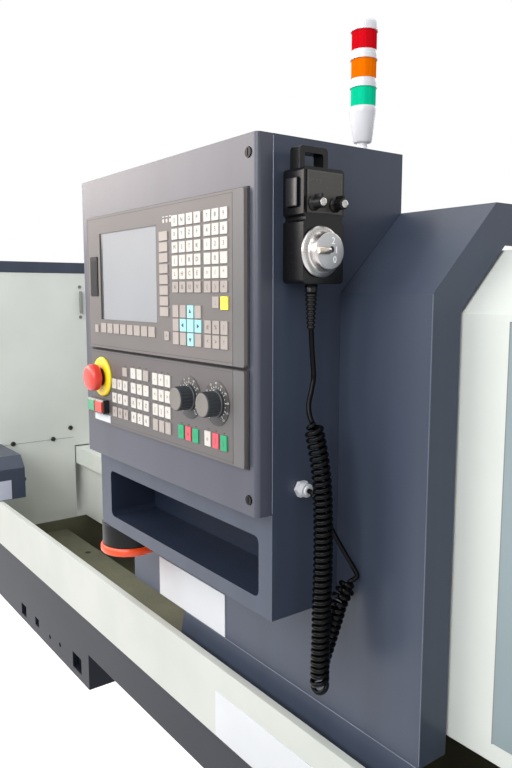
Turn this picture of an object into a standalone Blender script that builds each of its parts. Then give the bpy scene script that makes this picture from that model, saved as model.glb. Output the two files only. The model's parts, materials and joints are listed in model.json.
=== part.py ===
# Flat-bed turning lathe with a control console that travels on the carriage guard.
# Metres, +Z up. +X runs from the headstock to the tailstock, +Y from the operator into the machine.
# The origin is on the floor, under the middle of the machine.

import math

import bmesh
import bpy
from mathutils import Matrix, Vector

# Clearances and sheet thicknesses
SEAT = 0.0003
SHEET = 0.003
PAN_SHEET = 0.004
RAIL_SHEET = 0.0045
EDGE = 0.002
FUSE = 0.0005
ROUND_STEPS = 28
SMALL_STEPS = 16

# Machine length and the planes that divide it
LEFT_END = -1.550
RIGHT_END = 1.550
HEAD_WALL = -0.850

# Legs
PAD_HEIGHT = 0.025
PAD_RADIUS = 0.045
PAD_INSET = 0.075
LEG_TOP = 0.470
LEG_FRONT = -0.150
LEG_REAR = 0.460
TOE_FRONT = -0.055
TOE_HEIGHT = 0.120
TOE_RAMP = 0.050
LEFT_LEG = (-1.450, -0.600)
RIGHT_LEG = (0.750, 1.450)
PANEL_RECESS = 0.006
PANEL_MARGIN = 0.060

# Chip pan, a folded sheet
PAN_FRONT = -0.3972
PAN_FRONT_RIM = 0.660
SHELF_HEIGHT = 0.565
SHELF_EDGE = -0.215
TROUGH_FRONT = -0.192
PAN_REAR = 0.404
PAN_REAR_RIM = 0.640
DRAIN_RADIUS = 0.025

# Bed
BED_LEFT = -1.400
BED_RIGHT = 1.300
BED_BOTTOM = 0.600
BED_FRONT = -0.172
BED_REAR = 0.228
WAY_TOP = 0.823
WAY_WIDTH = 0.092
WAY_DEPTH = 0.053
WALL_INSET = 0.022
VEE_WIDTH = 0.034
VEE_HEIGHT = 0.025
VEE_FLOOR = 0.790
VEE_GAP = 0.018
TROUGH_FLOOR = 0.650
FOOT_INSET = 0.040
LEFT_FOOT = (-1.320, -0.920)
RIGHT_FOOT = (0.840, 1.220)
CHIP_WINDOWS = 5
CHIP_WINDOW_LENGTH = 0.200
CHIP_WINDOW_PITCH = 0.300
CHIP_WINDOW_START = -0.700
SCREW_COVER_THICKNESS = 0.006
SCREW_SLOT = 0.016
CHANNEL_CLEARANCE = 0.010

# Front rail and the dark panel under it
RAIL_FRONT = -0.477
RAIL_BOTTOM = 0.631
RAIL_TOP = 0.746
RAIL_REAR = -0.3975
RAIL_REAR_TOP = 0.658
RAIL_LIP = 0.013
BAND_FRONT = -0.475
BAND_BOTTOM = 0.554
BLOCK_BOTTOM = 0.476
BLOCK_REAR = -0.360
BLOCK_RIGHT = -0.081
PORT_DEPTH = 0.014
PORTS = ((-0.482, 0.504, 0.034, 0.028), (-0.388, 0.508, 0.024, 0.020), (-0.144, 0.5095, 0.046, 0.034))
TAPPED_HOLES = ((-0.303, 0.5045), (-0.241, 0.5105))
TAPPED_RADIUS = 0.005

# Headstock and its covers
SPINDLE_Y = 0.028
SPINDLE_Z = 1.073
HEAD_LEFT = -1.300
HEAD_RIGHT = -0.875
HEAD_FRONT = -0.150
HEAD_REAR = 0.230
HEAD_TOP = 1.240
HEAD_ROUNDING = 0.012
HEAD_FOOT = 0.020
HEAD_FOOT_HEIGHT = 0.040
WALL_CUT = 0.020
NOSE_RADIUS = 0.090
NOSE_END = -0.830
WALL_BORE = 0.100
COVER_TOP = 1.360
ROOF_TOP = 1.392
ROOF_OVERHANG = 0.002
BED_NOTCH_GAP = 0.004

# Low guard beside the headstock wall, standing on the rail
LEFT_GUARD_RIGHT = -0.650
LEFT_GUARD_FRONT = -0.468
LEFT_GUARD_REAR = -0.402
LEFT_GUARD_TOP = 0.860
LEFT_GUARD_CORNER = 0.030

# Carriage guard (the dark sliding cover)
GUARD_LEFT = 0.076
GUARD_RIGHT = 0.765
GUARD_FRONT = -0.443
GUARD_BOTTOM = 0.769
GUARD_BEND = 1.300
GUARD_SLOPE_DEPTH = 0.101
GUARD_SLOPE_RISE = 0.099
GUARD_TOP_REAR = -0.220
GUARD_RETURN = 0.046
SKIRT_LEFT = 0.257
SKIRT_BOTTOM = 0.722
SKIRT_FRONT = -0.452

# Fixed guard at the tailstock end
TAIL_GUARD_LEFT = 0.720
TAIL_GUARD_BOTTOM = 0.801
TAIL_GUARD_SETBACK = 0.051
TAIL_PANEL_LEFT = 0.834
TAIL_PANEL_RECESS = 0.006
TAIL_PANEL_MARGIN = 0.020
TAIL_PANEL_RIGHT = 1.500
TAIL_SILL_HEIGHT = 0.012
TAIL_SILL_DEPTH = 0.040

# Rear guard and rear cabinet
REAR_GUARD_BOTTOM = 0.560
REAR_GUARD_BEND = 1.240
REAR_GUARD_TOP = 1.340
REAR_GUARD_LEAN = 0.060
CABINET_LEFT = -1.440
CABINET_RIGHT = -0.700
CABINET_BOTTOM = 0.180
CABINET_TOP = 1.180
CABINET_REAR = 0.592
CABINET_COVER = 0.008
CABINET_COVER_INSET = 0.030
CABINET_ROUNDING = 0.004
CABINET_COVER_CORNER = 0.012
LOUVRES = 8
LOUVRE_PITCH = 0.030
LOUVRE_START = 0.080
LOUVRE_HEIGHT = 0.012
LOUVRE_LENGTH = 0.320

# Carriage
SADDLE_LEFT = -0.130
SADDLE_RIGHT = 0.310
SADDLE_FRONT = -0.250
SADDLE_REAR = 0.270
SADDLE_THICKNESS = 0.052
BRIDGE_LEFT = 0.020
BRIDGE_RIGHT = 0.260
WING_LENGTH = 0.110
WING_SLOPE = 0.030
ARM_HALF = 0.030
ARM_GAP = 0.002
ARM_BELOW = 0.008
DOVETAIL_SETBACK = 0.010
DOVETAIL_HEIGHT = 0.018
DOVETAIL_TOP_HALF = 0.055
DOVETAIL_FLARE = 0.010
SLIDE_CENTRE = 0.140
APRON_DEPTH = 0.062
APRON_BOTTOM = 0.640
APRON_MARGIN = 0.030
APRON_SEAT = 0.020
BRACKET_LEFT = 0.130
BRACKET_RIGHT = 0.230
BRACKET_BOTTOM = 0.735
BRACKET_ARM_TOP = 0.783
BRACKET_PLATE = 0.012
BRACKET_RIB = 0.008
UPRIGHT_LEFT = 0.090
UPRIGHT_RIGHT = 0.530
UPRIGHT_TOP = 0.797
SLIDE_HALF_WIDTH = 0.080
SLIDE_FRONT = -0.230
SLIDE_REAR = 0.170
SLIDE_THICKNESS = 0.050
POST_BASE_RADIUS = 0.058
POST_BASE_HEIGHT = 0.022
POST_CENTRE_Y = -0.120
POST_HALF = 0.060
POST_HEIGHT = 0.105
TOOL_SHANK = 0.020
TOOL_REACH = 0.030
TOOL_SLOT_RISE = 0.030
TOOL_SLOT_HEIGHT = 0.034
TOOL_SLOT_DEPTH = 0.026
TOOL_SLOT_GAP = 0.004
CLAMP_RADIUS = 0.026
CLAMP_HEIGHT = 0.018
TEE_HALF = 0.006
TEE_DEPTH = 0.012
TEE_OFFSET = 0.068
MOTOR_HALF = 0.045
MOTOR_LENGTH = 0.095
MOTOR_STEP = 0.005
MOTOR_FLANGE = 0.014
MOTOR_CAP = 0.020
MOTOR_OVERLAP = 0.004
MOTOR_CORNER = 0.008

# Chuck and jaws
CHUCK_RADIUS = 0.125
CHUCK_BACK = 0.022
CHUCK_THICKNESS = 0.085
CHUCK_BORE = 0.035
JAW_SLOT_WIDTH = 0.022
JAW_SLOT_DEPTH = 0.012
JAW_WIDTH = 0.034
JAW_INNER = 0.045
JAW_LENGTH = 0.062
JAW_HEIGHT = 0.036
JAW_STEP = 0.018
CHUCK_GAP = 0.0006
CHUCK_REGISTER = 0.020
CHUCK_CHAMFER = 0.006
CHUCK_BORE_FLOOR = 0.030
JAW_TONGUE = 0.004

# Tailstock
TAIL_LEFT = 1.080
TAIL_RIGHT = 1.270
TAIL_BASE_HEIGHT = 0.050
TAIL_NECK_HALF = 0.065
BARREL_RADIUS = 0.062
BARREL_LEFT = 1.040
BARREL_RIGHT = 1.330
QUILL_RADIUS = 0.032
QUILL_CLEARANCE = 0.0005
QUILL_LEFT = 1.000
QUILL_RIGHT = 1.285
QUILL_BORE_END = 1.300
CENTRE_LENGTH = 0.050
WHEEL_RADIUS = 0.105
WHEEL_RIM = 0.011
WHEEL_HUB = 0.024
WHEEL_THICKNESS = 0.034
RIM_STEPS = 8
LEVER_X = 1.130
LEVER_LENGTH = 0.120
TAIL_BASE_INSET = 0.012
NECK_FOOT_HALF = 0.120
NECK_RISE = 0.060
NECK_MARGIN = 0.010
LEVER_BOSS_RADIUS = 0.016
LEVER_BOSS_RISE = 0.012
LEVER_HUB_RADIUS = 0.015
LEVER_HUB_HEIGHT = 0.022
LEVER_HALF = 0.005
LEVER_BALL = 0.013
LEVER_BALL_RISE = 0.040
CENTRE_RADIUS = 0.016
CENTRE_CONE = 0.028
RIM_SETBACK = 0.020
SPOKE_HALF = (0.006, 0.009)
GRIP_RADIUS = 0.010
GRIP_LENGTH = 0.070

# Console box on the front of the carriage guard
CONSOLE_LEFT = 0.166
CONSOLE_RIGHT = 0.627
CONSOLE_FRONT = -0.545
CONSOLE_BOTTOM = 0.920
CONSOLE_TOP = 1.470
CONSOLE_WALL = 0.012
DOOR_THICKNESS = 0.022
DOOR_BOTTOM = 1.048
DOOR_CORNER = 0.006
DOOR_SKIN = 0.004
CAVITY_DEPTH = 0.085
TRAY_SIDE = 0.035
TRAY_BOTTOM = 0.940
TRAY_TOP = 1.015
TRAY_CORNER = 0.008
TRAY_DEPTH = 0.080
LOCK_RADIUS = 0.0055
LOCK_X = 0.612
LOCK_HEIGHTS = (1.4499, 1.0664)
LOCK_DEPTH = 0.004
LOCK_PROUD = 0.0012
LOCK_SLOT = (0.0016, 0.008)

# Operator panels on the console door
PANEL_LEFT = 0.198
PANEL_RIGHT = 0.612
PANEL_THICKNESS = 0.006
PANEL_CORNER = 0.003
DISPLAY_BOTTOM = 1.218
DISPLAY_TOP = 1.413
KEYBOARD_BOTTOM = 1.103
KEYBOARD_TOP = 1.214
BORDER_X = 0.5896
BORDER_GROOVE = 0.0012
GROOVE_DEPTH = 0.0006
KEY_HEIGHT = 0.0012
SCREEN_LEFT = 0.2515
SCREEN_RIGHT = 0.4165
SCREEN_BOTTOM = 1.2610
SCREEN_TOP = 1.3875
SCREEN_FRAME = 0.008
SCREEN_RECESS = 0.003
SCREEN_GLASS = 0.0015
USB_LEFT = 0.2107
USB_RIGHT = 0.2358
USB_BOTTOM = 1.2957
USB_TOP = 1.3538
USB_THICKNESS = 0.0030
USB_PROUD = 0.0015
# Groups of keys: left edge, top edge, columns, rows, pitch across, pitch down, width, height
DISPLAY_KEYS = (
    (0.4595, 1.3954, 4, 6, 0.0175, 0.0163, 0.0137, 0.0129),
    (0.5337, 1.3954, 3, 6, 0.0171, 0.0163, 0.0137, 0.0129),
    (0.4268, 1.3778, 1, 8, 0.0, 0.0137, 0.0210, 0.0112),
    (0.2452, 1.2555, 8, 1, 0.0213, 0.0, 0.0170, 0.0135),
    (0.4595, 1.2851, 4, 3, 0.0175, 0.0170, 0.0137, 0.0150),
    (0.5337, 1.2681, 3, 2, 0.0171, 0.0170, 0.0137, 0.0150),
    (0.5508, 1.2960, 1, 1, 0.0, 0.0, 0.0130, 0.0130),
    (0.5679, 1.2963, 1, 1, 0.0, 0.0, 0.0145, 0.0150),
    (0.2240, 1.2525, 1, 1, 0.0, 0.0, 0.0110, 0.0110),
    (0.4375, 1.2510, 1, 1, 0.0, 0.0, 0.0110, 0.0110),
)
MACHINE_KEYS = (
    (0.2778, 1.1745, 3, 3, 0.0180, 0.0210, 0.0135, 0.0140),
    (0.3388, 1.1950, 3, 4, 0.0187, 0.0208, 0.0140, 0.0142),
    (0.4025, 1.1940, 3, 4, 0.0168, 0.0207, 0.0132, 0.0152),
    (0.4697, 1.1340, 3, 1, 0.0170, 0.0, 0.0128, 0.0172),
    (0.5317, 1.1355, 3, 1, 0.0172, 0.0, 0.0126, 0.0180),
    (0.3130, 1.1935, 1, 1, 0.0, 0.0, 0.0140, 0.0120),
)

# Emergency stop, start and stop buttons
ESTOP_X = 0.2445
ESTOP_Z = 1.1740
ESTOP_RING = 0.030
ESTOP_RING_THICKNESS = 0.004
ESTOP_HEAD = 0.020
ESTOP_NECK = 0.010
ESTOP_STANDOFF = 0.0267
ESTOP_HEAD_HEIGHT = 0.017
ESTOP_TRAVEL = 0.004
BUTTON_BLOCK_LEFT = 0.2095
BUTTON_BLOCK_RIGHT = 0.2635
BUTTON_BLOCK_BOTTOM = 1.1190
BUTTON_BLOCK_TOP = 1.1400
BUTTON_BLOCK_HEIGHT = 0.010
BUTTON_RIM = 0.002
BUTTON_GAP = 0.0005
BUTTON_PROUD = 0.0025
BUTTON_SINK = 0.006

# Override knobs
KNOB_X = (0.496, 0.557)
KNOB_Z = 1.1715
KNOB_RADIUS = 0.015
KNOB_HEIGHT = 0.020
KNOB_SKIRT = 0.0165
DIAL_RADIUS = 0.0265
DIAL_THICKNESS = 0.0008
FLUTES = 12
FLUTE_DEPTH = 0.0007
POINTER_WIDTH = 0.0016

# Hand-wheel pendant on the console's right side
HOLDER_THICKNESS = 0.0054
PENDANT_FRONT = -0.536
PENDANT_WIDTH = 0.058
PENDANT_BOTTOM = 1.310
PENDANT_TOP = 1.432
PENDANT_DEPTH = 0.034
PENDANT_CORNER = 0.005
PLATE_INSET = 0.004
PLATE_BOTTOM = 1.3845
PLATE_THICKNESS = 0.0012
LOOP_FRONT = -0.534
LOOP_WIDTH = 0.040
LOOP_HEIGHT = 0.0226
LOOP_BAR = 0.007
LOOP_DEPTH = 0.016
PENDANT_WHEEL_Y = -0.5125
PENDANT_WHEEL_Z = 1.344
FLANGE_RADIUS = 0.0275
FLANGE_THICKNESS = 0.005
CRANK_RADIUS = 0.020
CRANK_HEIGHT = 0.017
SELECTOR_Y = (-0.5236, -0.4933)
SELECTOR_Z = 1.394
SELECTOR_BASE = 0.0095
SELECTOR_CAP = 0.0065
SELECTOR_HEIGHT = 0.017
ENABLE_Z = (1.391, 1.421)
ENABLE_PROUD = 0.004
ENABLE_WIDTH = 0.018
ENABLE_SINK = 0.006
WAIST_HEIGHTS = (1.3745, 1.3775, 1.3805, 1.3835)
WAIST_DEPTH = 0.0035
CRANK_PIN = (-0.011, 0.006)
CRANK_PIN_RADIUS = 0.0035

# Cord of the pendant
CORD_RADIUS = 0.003
COIL_RADIUS = 0.0115
RELIEF_SETBACK = 0.0265
RELIEF_LENGTH = 0.032
RELIEF_RADIUS = 0.0062
GLAND_Y = -0.503
GLAND_Z = 1.073
GLAND_FLATS = 0.018
GLAND_LENGTH = 0.014
GLAND_TIP = 0.0055

# Signal tower on the console's roof
LAMP_X = 0.607
LAMP_Y = -0.392
LAMP_TUBE_RADIUS = 0.0065
LAMP_TUBE_HEIGHT = 0.014
LAMP_BASE_HEIGHT = 0.038
LAMP_LENS_RADIUS = 0.0150
LAMP_COLLAR_RADIUS = 0.0163
LAMP_LENS_HEIGHT = 0.0215
LAMP_COLLAR_HEIGHT = 0.0105
LAMP_CAP_HEIGHT = 0.0130

# Round lamp housing under the console's left corner
WORK_LAMP_X = 0.178
WORK_LAMP_Y = -0.5015
WORK_LAMP_RADIUS = 0.046
WORK_LAMP_HEIGHT = 0.054
WORK_LAMP_FLANGE = 0.058
WORK_LAMP_RIM = 0.004

MATERIALS = {
    "slate_paint": ((0.066, 0.070, 0.095), 0.0, 0.42),
    "cream_paint": ((0.80, 0.82, 0.78), 0.0, 0.45),
    "pan_paint": ((0.14, 0.14, 0.095), 0.0, 0.55),
    "cast_paint": ((0.72, 0.74, 0.70), 0.0, 0.5),
    "ground_steel": ((0.55, 0.55, 0.56), 1.0, 0.3),
    "panel_grey": ((0.24, 0.235, 0.225), 0.0, 0.5),
    "keyboard_grey": ((0.115, 0.105, 0.105), 0.0, 0.5),
    "glass": ((0.60, 0.61, 0.62), 0.0, 0.15),
    "black_plastic": ((0.012, 0.012, 0.014), 0.0, 0.4),
    "grey_plastic": ((0.30, 0.30, 0.30), 0.0, 0.4),
    "red_plastic": ((0.72, 0.045, 0.03), 0.0, 0.35),
    "yellow_plastic": ((0.88, 0.66, 0.02), 0.0, 0.4),
    "green_plastic": ((0.01, 0.38, 0.15), 0.0, 0.35),
    "orange_plastic": ((0.85, 0.10, 0.02), 0.0, 0.4),
    "lens_red": ((0.70, 0.01, 0.02), 0.0, 0.2),
    "lens_amber": ((0.90, 0.22, 0.01), 0.0, 0.2),
    "lens_green": ((0.01, 0.50, 0.28), 0.0, 0.2),
    "white_plastic": ((0.82, 0.82, 0.84), 0.0, 0.35),
    "rubber": ((0.02, 0.02, 0.02), 0.0, 0.6),
    "aluminium": ((0.70, 0.70, 0.71), 1.0, 0.28),
}

AXES = {"X": 0, "Y": 1, "Z": 2}
empties = {}


def material(name):
    found = bpy.data.materials.get(name)
    if found:
        return found
    colour, metallic, roughness = MATERIALS[name]
    made = bpy.data.materials.new(name)
    made.use_nodes = True
    shader = made.node_tree.nodes["Principled BSDF"]
    shader.inputs["Base Color"].default_value = (*colour, 1.0)
    shader.inputs["Metallic"].default_value = metallic
    shader.inputs["Roughness"].default_value = roughness
    made.diffuse_color = (*colour, 1.0)
    return made


def carrier(name, location=(0, 0, 0), parent=None):
    """An empty that carries the pieces of one body."""
    empty = bpy.data.objects.new(name, None)
    bpy.context.scene.collection.objects.link(empty)
    empty.location = Vector(location)
    if parent:
        empty.parent = empties[parent]
        empty.location = Vector(location) - world_origin(parent)
    empties[name] = empty
    empty["origin"] = tuple(location)
    return empty


def world_origin(name):
    return Vector(empties[name]["origin"])


def finish(name, shape, colour, body="machine", origin=None, smooth=False):
    """Turn a mesh in world coordinates into a named object with its origin where asked."""
    if origin is None:
        lows = [min(v.co[i] for v in shape.verts) for i in range(3)]
        highs = [max(v.co[i] for v in shape.verts) for i in range(3)]
        origin = [(low + high) / 2 for low, high in zip(lows, highs)]
    origin = Vector(origin)
    bmesh.ops.translate(shape, vec=-origin, verts=shape.verts)
    mesh = bpy.data.meshes.new(name)
    shape.to_mesh(mesh)
    shape.free()
    if smooth:
        mesh.shade_smooth()
        mesh.set_sharp_from_angle(angle=math.radians(32))
    mesh.materials.append(material(colour))
    made = bpy.data.objects.new(name, mesh)
    bpy.context.scene.collection.objects.link(made)
    made.parent = empties[body]
    made.location = origin - world_origin(body)
    return made


def box(x, y, z, bevel=0.0, steps=1):
    shape = bmesh.new()
    size = [abs(pair[1] - pair[0]) for pair in (x, y, z)]
    middle = [(pair[0] + pair[1]) / 2 for pair in (x, y, z)]
    bmesh.ops.create_cube(shape, size=1.0,
                          matrix=Matrix.Translation(middle) @ Matrix.Diagonal((*size, 1.0)))
    if bevel:
        bmesh.ops.bevel(shape, geom=shape.edges[:], offset=bevel, segments=steps, affect="EDGES",
                        profile=0.5)
    return shape


def to_world(axis, along, first, second):
    """Place a point of an outline: the outline's two axes follow X, Y, Z order."""
    point = [0.0, 0.0, 0.0]
    others = [i for i in range(3) if i != AXES[axis]]
    point[AXES[axis]] = along
    point[others[0]] = first
    point[others[1]] = second
    return point


def prism(outline, axis, start, end, bevel=0.0):
    shape = bmesh.new()
    ring = [shape.verts.new(to_world(axis, start, a, b)) for a, b in outline]
    face = shape.faces.new(ring)
    extruded = bmesh.ops.extrude_face_region(shape, geom=[face])
    moved = [item for item in extruded["geom"] if isinstance(item, bmesh.types.BMVert)]
    step = [0.0, 0.0, 0.0]
    step[AXES[axis]] = end - start
    bmesh.ops.translate(shape, vec=step, verts=moved)
    bmesh.ops.recalc_face_normals(shape, faces=shape.faces[:])
    if bevel:
        bmesh.ops.bevel(shape, geom=shape.edges[:], offset=bevel, segments=1, affect="EDGES", profile=0.5)
    return shape


def turned(profile, axis, centre, steps=ROUND_STEPS):
    """Spin an outline of (radius, along) points, from one end on the axis to the other, round an axis."""
    shape = bmesh.new()
    others = [i for i in range(3) if i != AXES[axis]]
    points = []
    for radius, along in profile:
        point = list(centre)
        point[AXES[axis]] += along
        point[others[0]] += radius
        points.append(shape.verts.new(point))
    edges = [shape.edges.new(pair) for pair in zip(points, points[1:])]
    direction = [0.0, 0.0, 0.0]
    direction[AXES[axis]] = 1.0
    bmesh.ops.spin(shape, geom=points + edges, cent=centre, axis=direction, angle=math.tau, steps=steps,
                   use_merge=True)
    bmesh.ops.remove_doubles(shape, verts=shape.verts[:], dist=1e-6)
    bmesh.ops.recalc_face_normals(shape, faces=shape.faces[:])
    return shape


def ring(inner, outer, start, end, axis, centre, steps=ROUND_STEPS):
    profile = [(inner, start), (outer, start), (outer, end), (inner, end), (inner, start)]
    return turned(profile, axis, centre, steps)


def disc(radius, start, end, axis, centre, steps=ROUND_STEPS, chamfer=0.0):
    side = [(radius, start), (radius, end)]
    if chamfer:
        side = [(radius - chamfer, start), (radius, start + chamfer), (radius, end - chamfer),
                (radius - chamfer, end)]
    return turned([(0.0, start)] + side + [(0.0, end)], axis, centre, steps)


def boolean(first, second, operation):
    objects = []
    for shape in (first, second):
        mesh = bpy.data.meshes.new("working")
        shape.to_mesh(mesh)
        shape.free()
        working = bpy.data.objects.new("working", mesh)
        bpy.context.scene.collection.objects.link(working)
        objects.append(working)
    modifier = objects[0].modifiers.new("boolean", "BOOLEAN")
    modifier.operation = operation
    modifier.solver = "EXACT"
    modifier.object = objects[1]
    evaluated = objects[0].evaluated_get(bpy.context.evaluated_depsgraph_get())
    result = bmesh.new()
    result.from_mesh(evaluated.to_mesh())
    for working in objects:
        mesh = working.data
        bpy.data.objects.remove(working, do_unlink=True)
        bpy.data.meshes.remove(mesh)
    bmesh.ops.remove_doubles(result, verts=result.verts[:], dist=1e-6)
    return result


def cut(shape, *cutters):
    for cutter in cutters:
        shape = boolean(shape, cutter, "DIFFERENCE")
    return shape


def join(shape, *others):
    for other in others:
        shape = boolean(shape, other, "UNION")
    return shape


def gather(shapes):
    """Put shapes that lie apart into one working mesh."""
    result = bmesh.new()
    for shape in shapes:
        mesh = bpy.data.meshes.new("gather")
        shape.to_mesh(mesh)
        shape.free()
        result.from_mesh(mesh)
        bpy.data.meshes.remove(mesh)
    return result


def offset_path(points, distance):
    """Points of a bent line moved sideways, to the left of its direction."""
    moved = []
    for index, point in enumerate(points):
        before = Vector(points[max(index - 1, 0)])
        here = Vector(point)
        after = Vector(points[min(index + 1, len(points) - 1)])
        incoming = (here - before).normalized() if index else (after - here).normalized()
        outgoing = (after - here).normalized() if index < len(points) - 1 else incoming
        normal_in = Vector((-incoming.y, incoming.x))
        normal_out = Vector((-outgoing.y, outgoing.x))
        mitre = (normal_in + normal_out).normalized()
        moved.append(here + mitre * distance / mitre.dot(normal_in))
    return [(point.x, point.y) for point in moved]


def folded(points, thickness):
    """Outline of a bent sheet whose second face lies to the left of the path."""
    return list(points) + list(reversed(offset_path(points, thickness)))


def rounded(a, b, radius, steps=3):
    """Outline of a rectangle with round corners, from its ranges on two axes."""
    centres = ((a[1] - radius, b[1] - radius, 0), (a[0] + radius, b[1] - radius, 90),
               (a[0] + radius, b[0] + radius, 180), (a[1] - radius, b[0] + radius, 270))
    points = []
    for ca, cb, start in centres:
        for step in range(steps + 1):
            angle = math.radians(start + 90 * step / steps)
            points.append((ca + radius * math.cos(angle), cb + radius * math.sin(angle)))
    return points


def leg(name, x):
    outline = [(TOE_FRONT, PAD_HEIGHT), (TOE_FRONT, TOE_HEIGHT), (LEG_FRONT, TOE_HEIGHT + TOE_RAMP),
               (LEG_FRONT, LEG_TOP), (LEG_REAR, LEG_TOP), (LEG_REAR, PAD_HEIGHT)]
    shape = prism(outline, "X", *x)
    low = TOE_HEIGHT + TOE_RAMP + PANEL_MARGIN
    high = LEG_TOP - PANEL_MARGIN
    recess_x = (x[0] + PANEL_MARGIN, x[1] - PANEL_MARGIN)
    recess_y = (LEG_FRONT + PANEL_MARGIN, LEG_REAR - PANEL_MARGIN)
    shape = cut(
        shape,
        prism(rounded(recess_x, (low, high), 0.02), "Y", LEG_FRONT - EDGE, LEG_FRONT + PANEL_RECESS),
        prism(rounded(recess_y, (low, high), 0.02), "X", x[0] - EDGE, x[0] + PANEL_RECESS),
        prism(rounded(recess_y, (low, high), 0.02), "X", x[1] - PANEL_RECESS, x[1] + EDGE),
    )
    pads = []
    for px in (x[0] + PAD_INSET, x[1] - PAD_INSET):
        for py in (TOE_FRONT + PAD_INSET, LEG_REAR - PAD_INSET):
            pads.append(disc(PAD_RADIUS, 0.0, PAD_HEIGHT + EDGE, "Z", (px, py, 0.0), SMALL_STEPS))
    return finish(name, join(shape, gather(pads)), "slate_paint")


def pan_floor():
    return LEG_TOP + SEAT


def chip_pan():
    left = HEAD_WALL + SEAT
    right = RIGHT_END - SHEET - SEAT
    floor = pan_floor()
    path = [(PAN_FRONT, PAN_FRONT_RIM), (PAN_FRONT, SHELF_HEIGHT - PAN_SHEET),
            (SHELF_EDGE, SHELF_HEIGHT - PAN_SHEET), (TROUGH_FRONT, floor), (PAN_REAR, floor),
            (PAN_REAR, PAN_REAR_RIM)]
    shape = prism(folded(path, PAN_SHEET), "X", left, right)
    end_low = SHELF_HEIGHT - PAN_SHEET / 2
    end_high = BED_BOTTOM - EDGE
    end = [(PAN_FRONT + EDGE, end_high), (PAN_FRONT + EDGE, end_low), (SHELF_EDGE, end_low),
           (TROUGH_FRONT, floor + PAN_SHEET / 2), (PAN_REAR - EDGE, floor + PAN_SHEET / 2),
           (PAN_REAR - EDGE, end_high)]
    drain = disc(DRAIN_RADIUS, floor - EDGE, floor + PAN_SHEET + EDGE, "Z", (0.1, 0.3, 0.0), SMALL_STEPS)
    shape = join(shape, gather([prism(end, "X", left, left + PAN_SHEET),
                                prism(end, "X", right - PAN_SHEET, right)]))
    return finish("chip_pan", cut(shape, drain), "pan_paint")


def bed_outline():
    """Section of the bed: two flat ways outside, two vee ways inside, a channel between them."""
    middle = (BED_FRONT + BED_REAR) / 2
    lip = WAY_TOP - WAY_DEPTH
    vee_outer = BED_FRONT + WAY_WIDTH + VEE_GAP
    half = [(BED_FRONT + WALL_INSET, BED_BOTTOM), (BED_FRONT + WALL_INSET, lip), (BED_FRONT, lip),
            (BED_FRONT, WAY_TOP), (BED_FRONT + WAY_WIDTH, WAY_TOP), (BED_FRONT + WAY_WIDTH, VEE_FLOOR),
            (vee_outer, VEE_FLOOR), (vee_outer + VEE_WIDTH / 2, VEE_FLOOR + VEE_HEIGHT),
            (vee_outer + VEE_WIDTH, VEE_FLOOR), (vee_outer + VEE_WIDTH + VEE_GAP, VEE_FLOOR),
            (vee_outer + VEE_WIDTH + VEE_GAP, TROUGH_FLOOR)]
    return half + [(2 * middle - y, z) for y, z in reversed(half)]


def channel_side():
    return BED_FRONT + WAY_WIDTH + 2 * VEE_GAP + VEE_WIDTH


def bed():
    shape = prism(bed_outline(), "X", BED_LEFT, BED_RIGHT)
    front = BED_FRONT + WALL_INSET + FOOT_INSET
    rear = BED_REAR - WALL_INSET - FOOT_INSET
    overlap = BED_BOTTOM + EDGE
    feet = [box(LEFT_FOOT, (front, rear), (LEG_TOP + SEAT, overlap)),
            box(RIGHT_FOOT, (front, rear), (pan_floor() + PAN_SHEET + SEAT, overlap))]
    windows = []
    inner = channel_side() + CHANNEL_CLEARANCE
    outer = BED_FRONT + BED_REAR - inner
    for index in range(CHIP_WINDOWS):
        start = CHIP_WINDOW_START + index * CHIP_WINDOW_PITCH
        windows.append(box((start, start + CHIP_WINDOW_LENGTH), (inner, outer),
                           (BED_BOTTOM - EDGE, TROUGH_FLOOR + EDGE)))
    shape = cut(join(shape, gather(feet)), gather(windows))
    return finish("bed", join(shape, screw_cover()), "cast_paint")


def screw_cover():
    """Plate that closes the channel over the drive screw, slotted for the saddle's arm."""
    side = channel_side() - EDGE
    far = BED_FRONT + BED_REAR - side
    top = VEE_FLOOR - EDGE
    plate = box((BED_LEFT + FOOT_INSET, BED_RIGHT - FOOT_INSET), (side, far),
                (top - SCREW_COVER_THICKNESS, top))
    middle = (BED_FRONT + BED_REAR) / 2
    slot = box((HEAD_RIGHT, BED_RIGHT - 2 * FOOT_INSET), (middle - SCREW_SLOT / 2, middle + SCREW_SLOT / 2),
               (top - SCREW_COVER_THICKNESS - EDGE, top + EDGE))
    return cut(plate, slot)


def front_rail():
    """Open rail: its top edge is folded inwards, and the sliding guard's skirt hangs behind it."""
    path = [(RAIL_FRONT + RAIL_LIP, RAIL_TOP), (RAIL_FRONT, RAIL_TOP), (RAIL_FRONT, RAIL_BOTTOM),
            (RAIL_REAR, RAIL_BOTTOM), (RAIL_REAR, RAIL_REAR_TOP)]
    shape = prism(folded(path, RAIL_SHEET), "X", HEAD_WALL + SEAT, RIGHT_END)
    return finish("front_rail", shape, "cream_paint")


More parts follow.
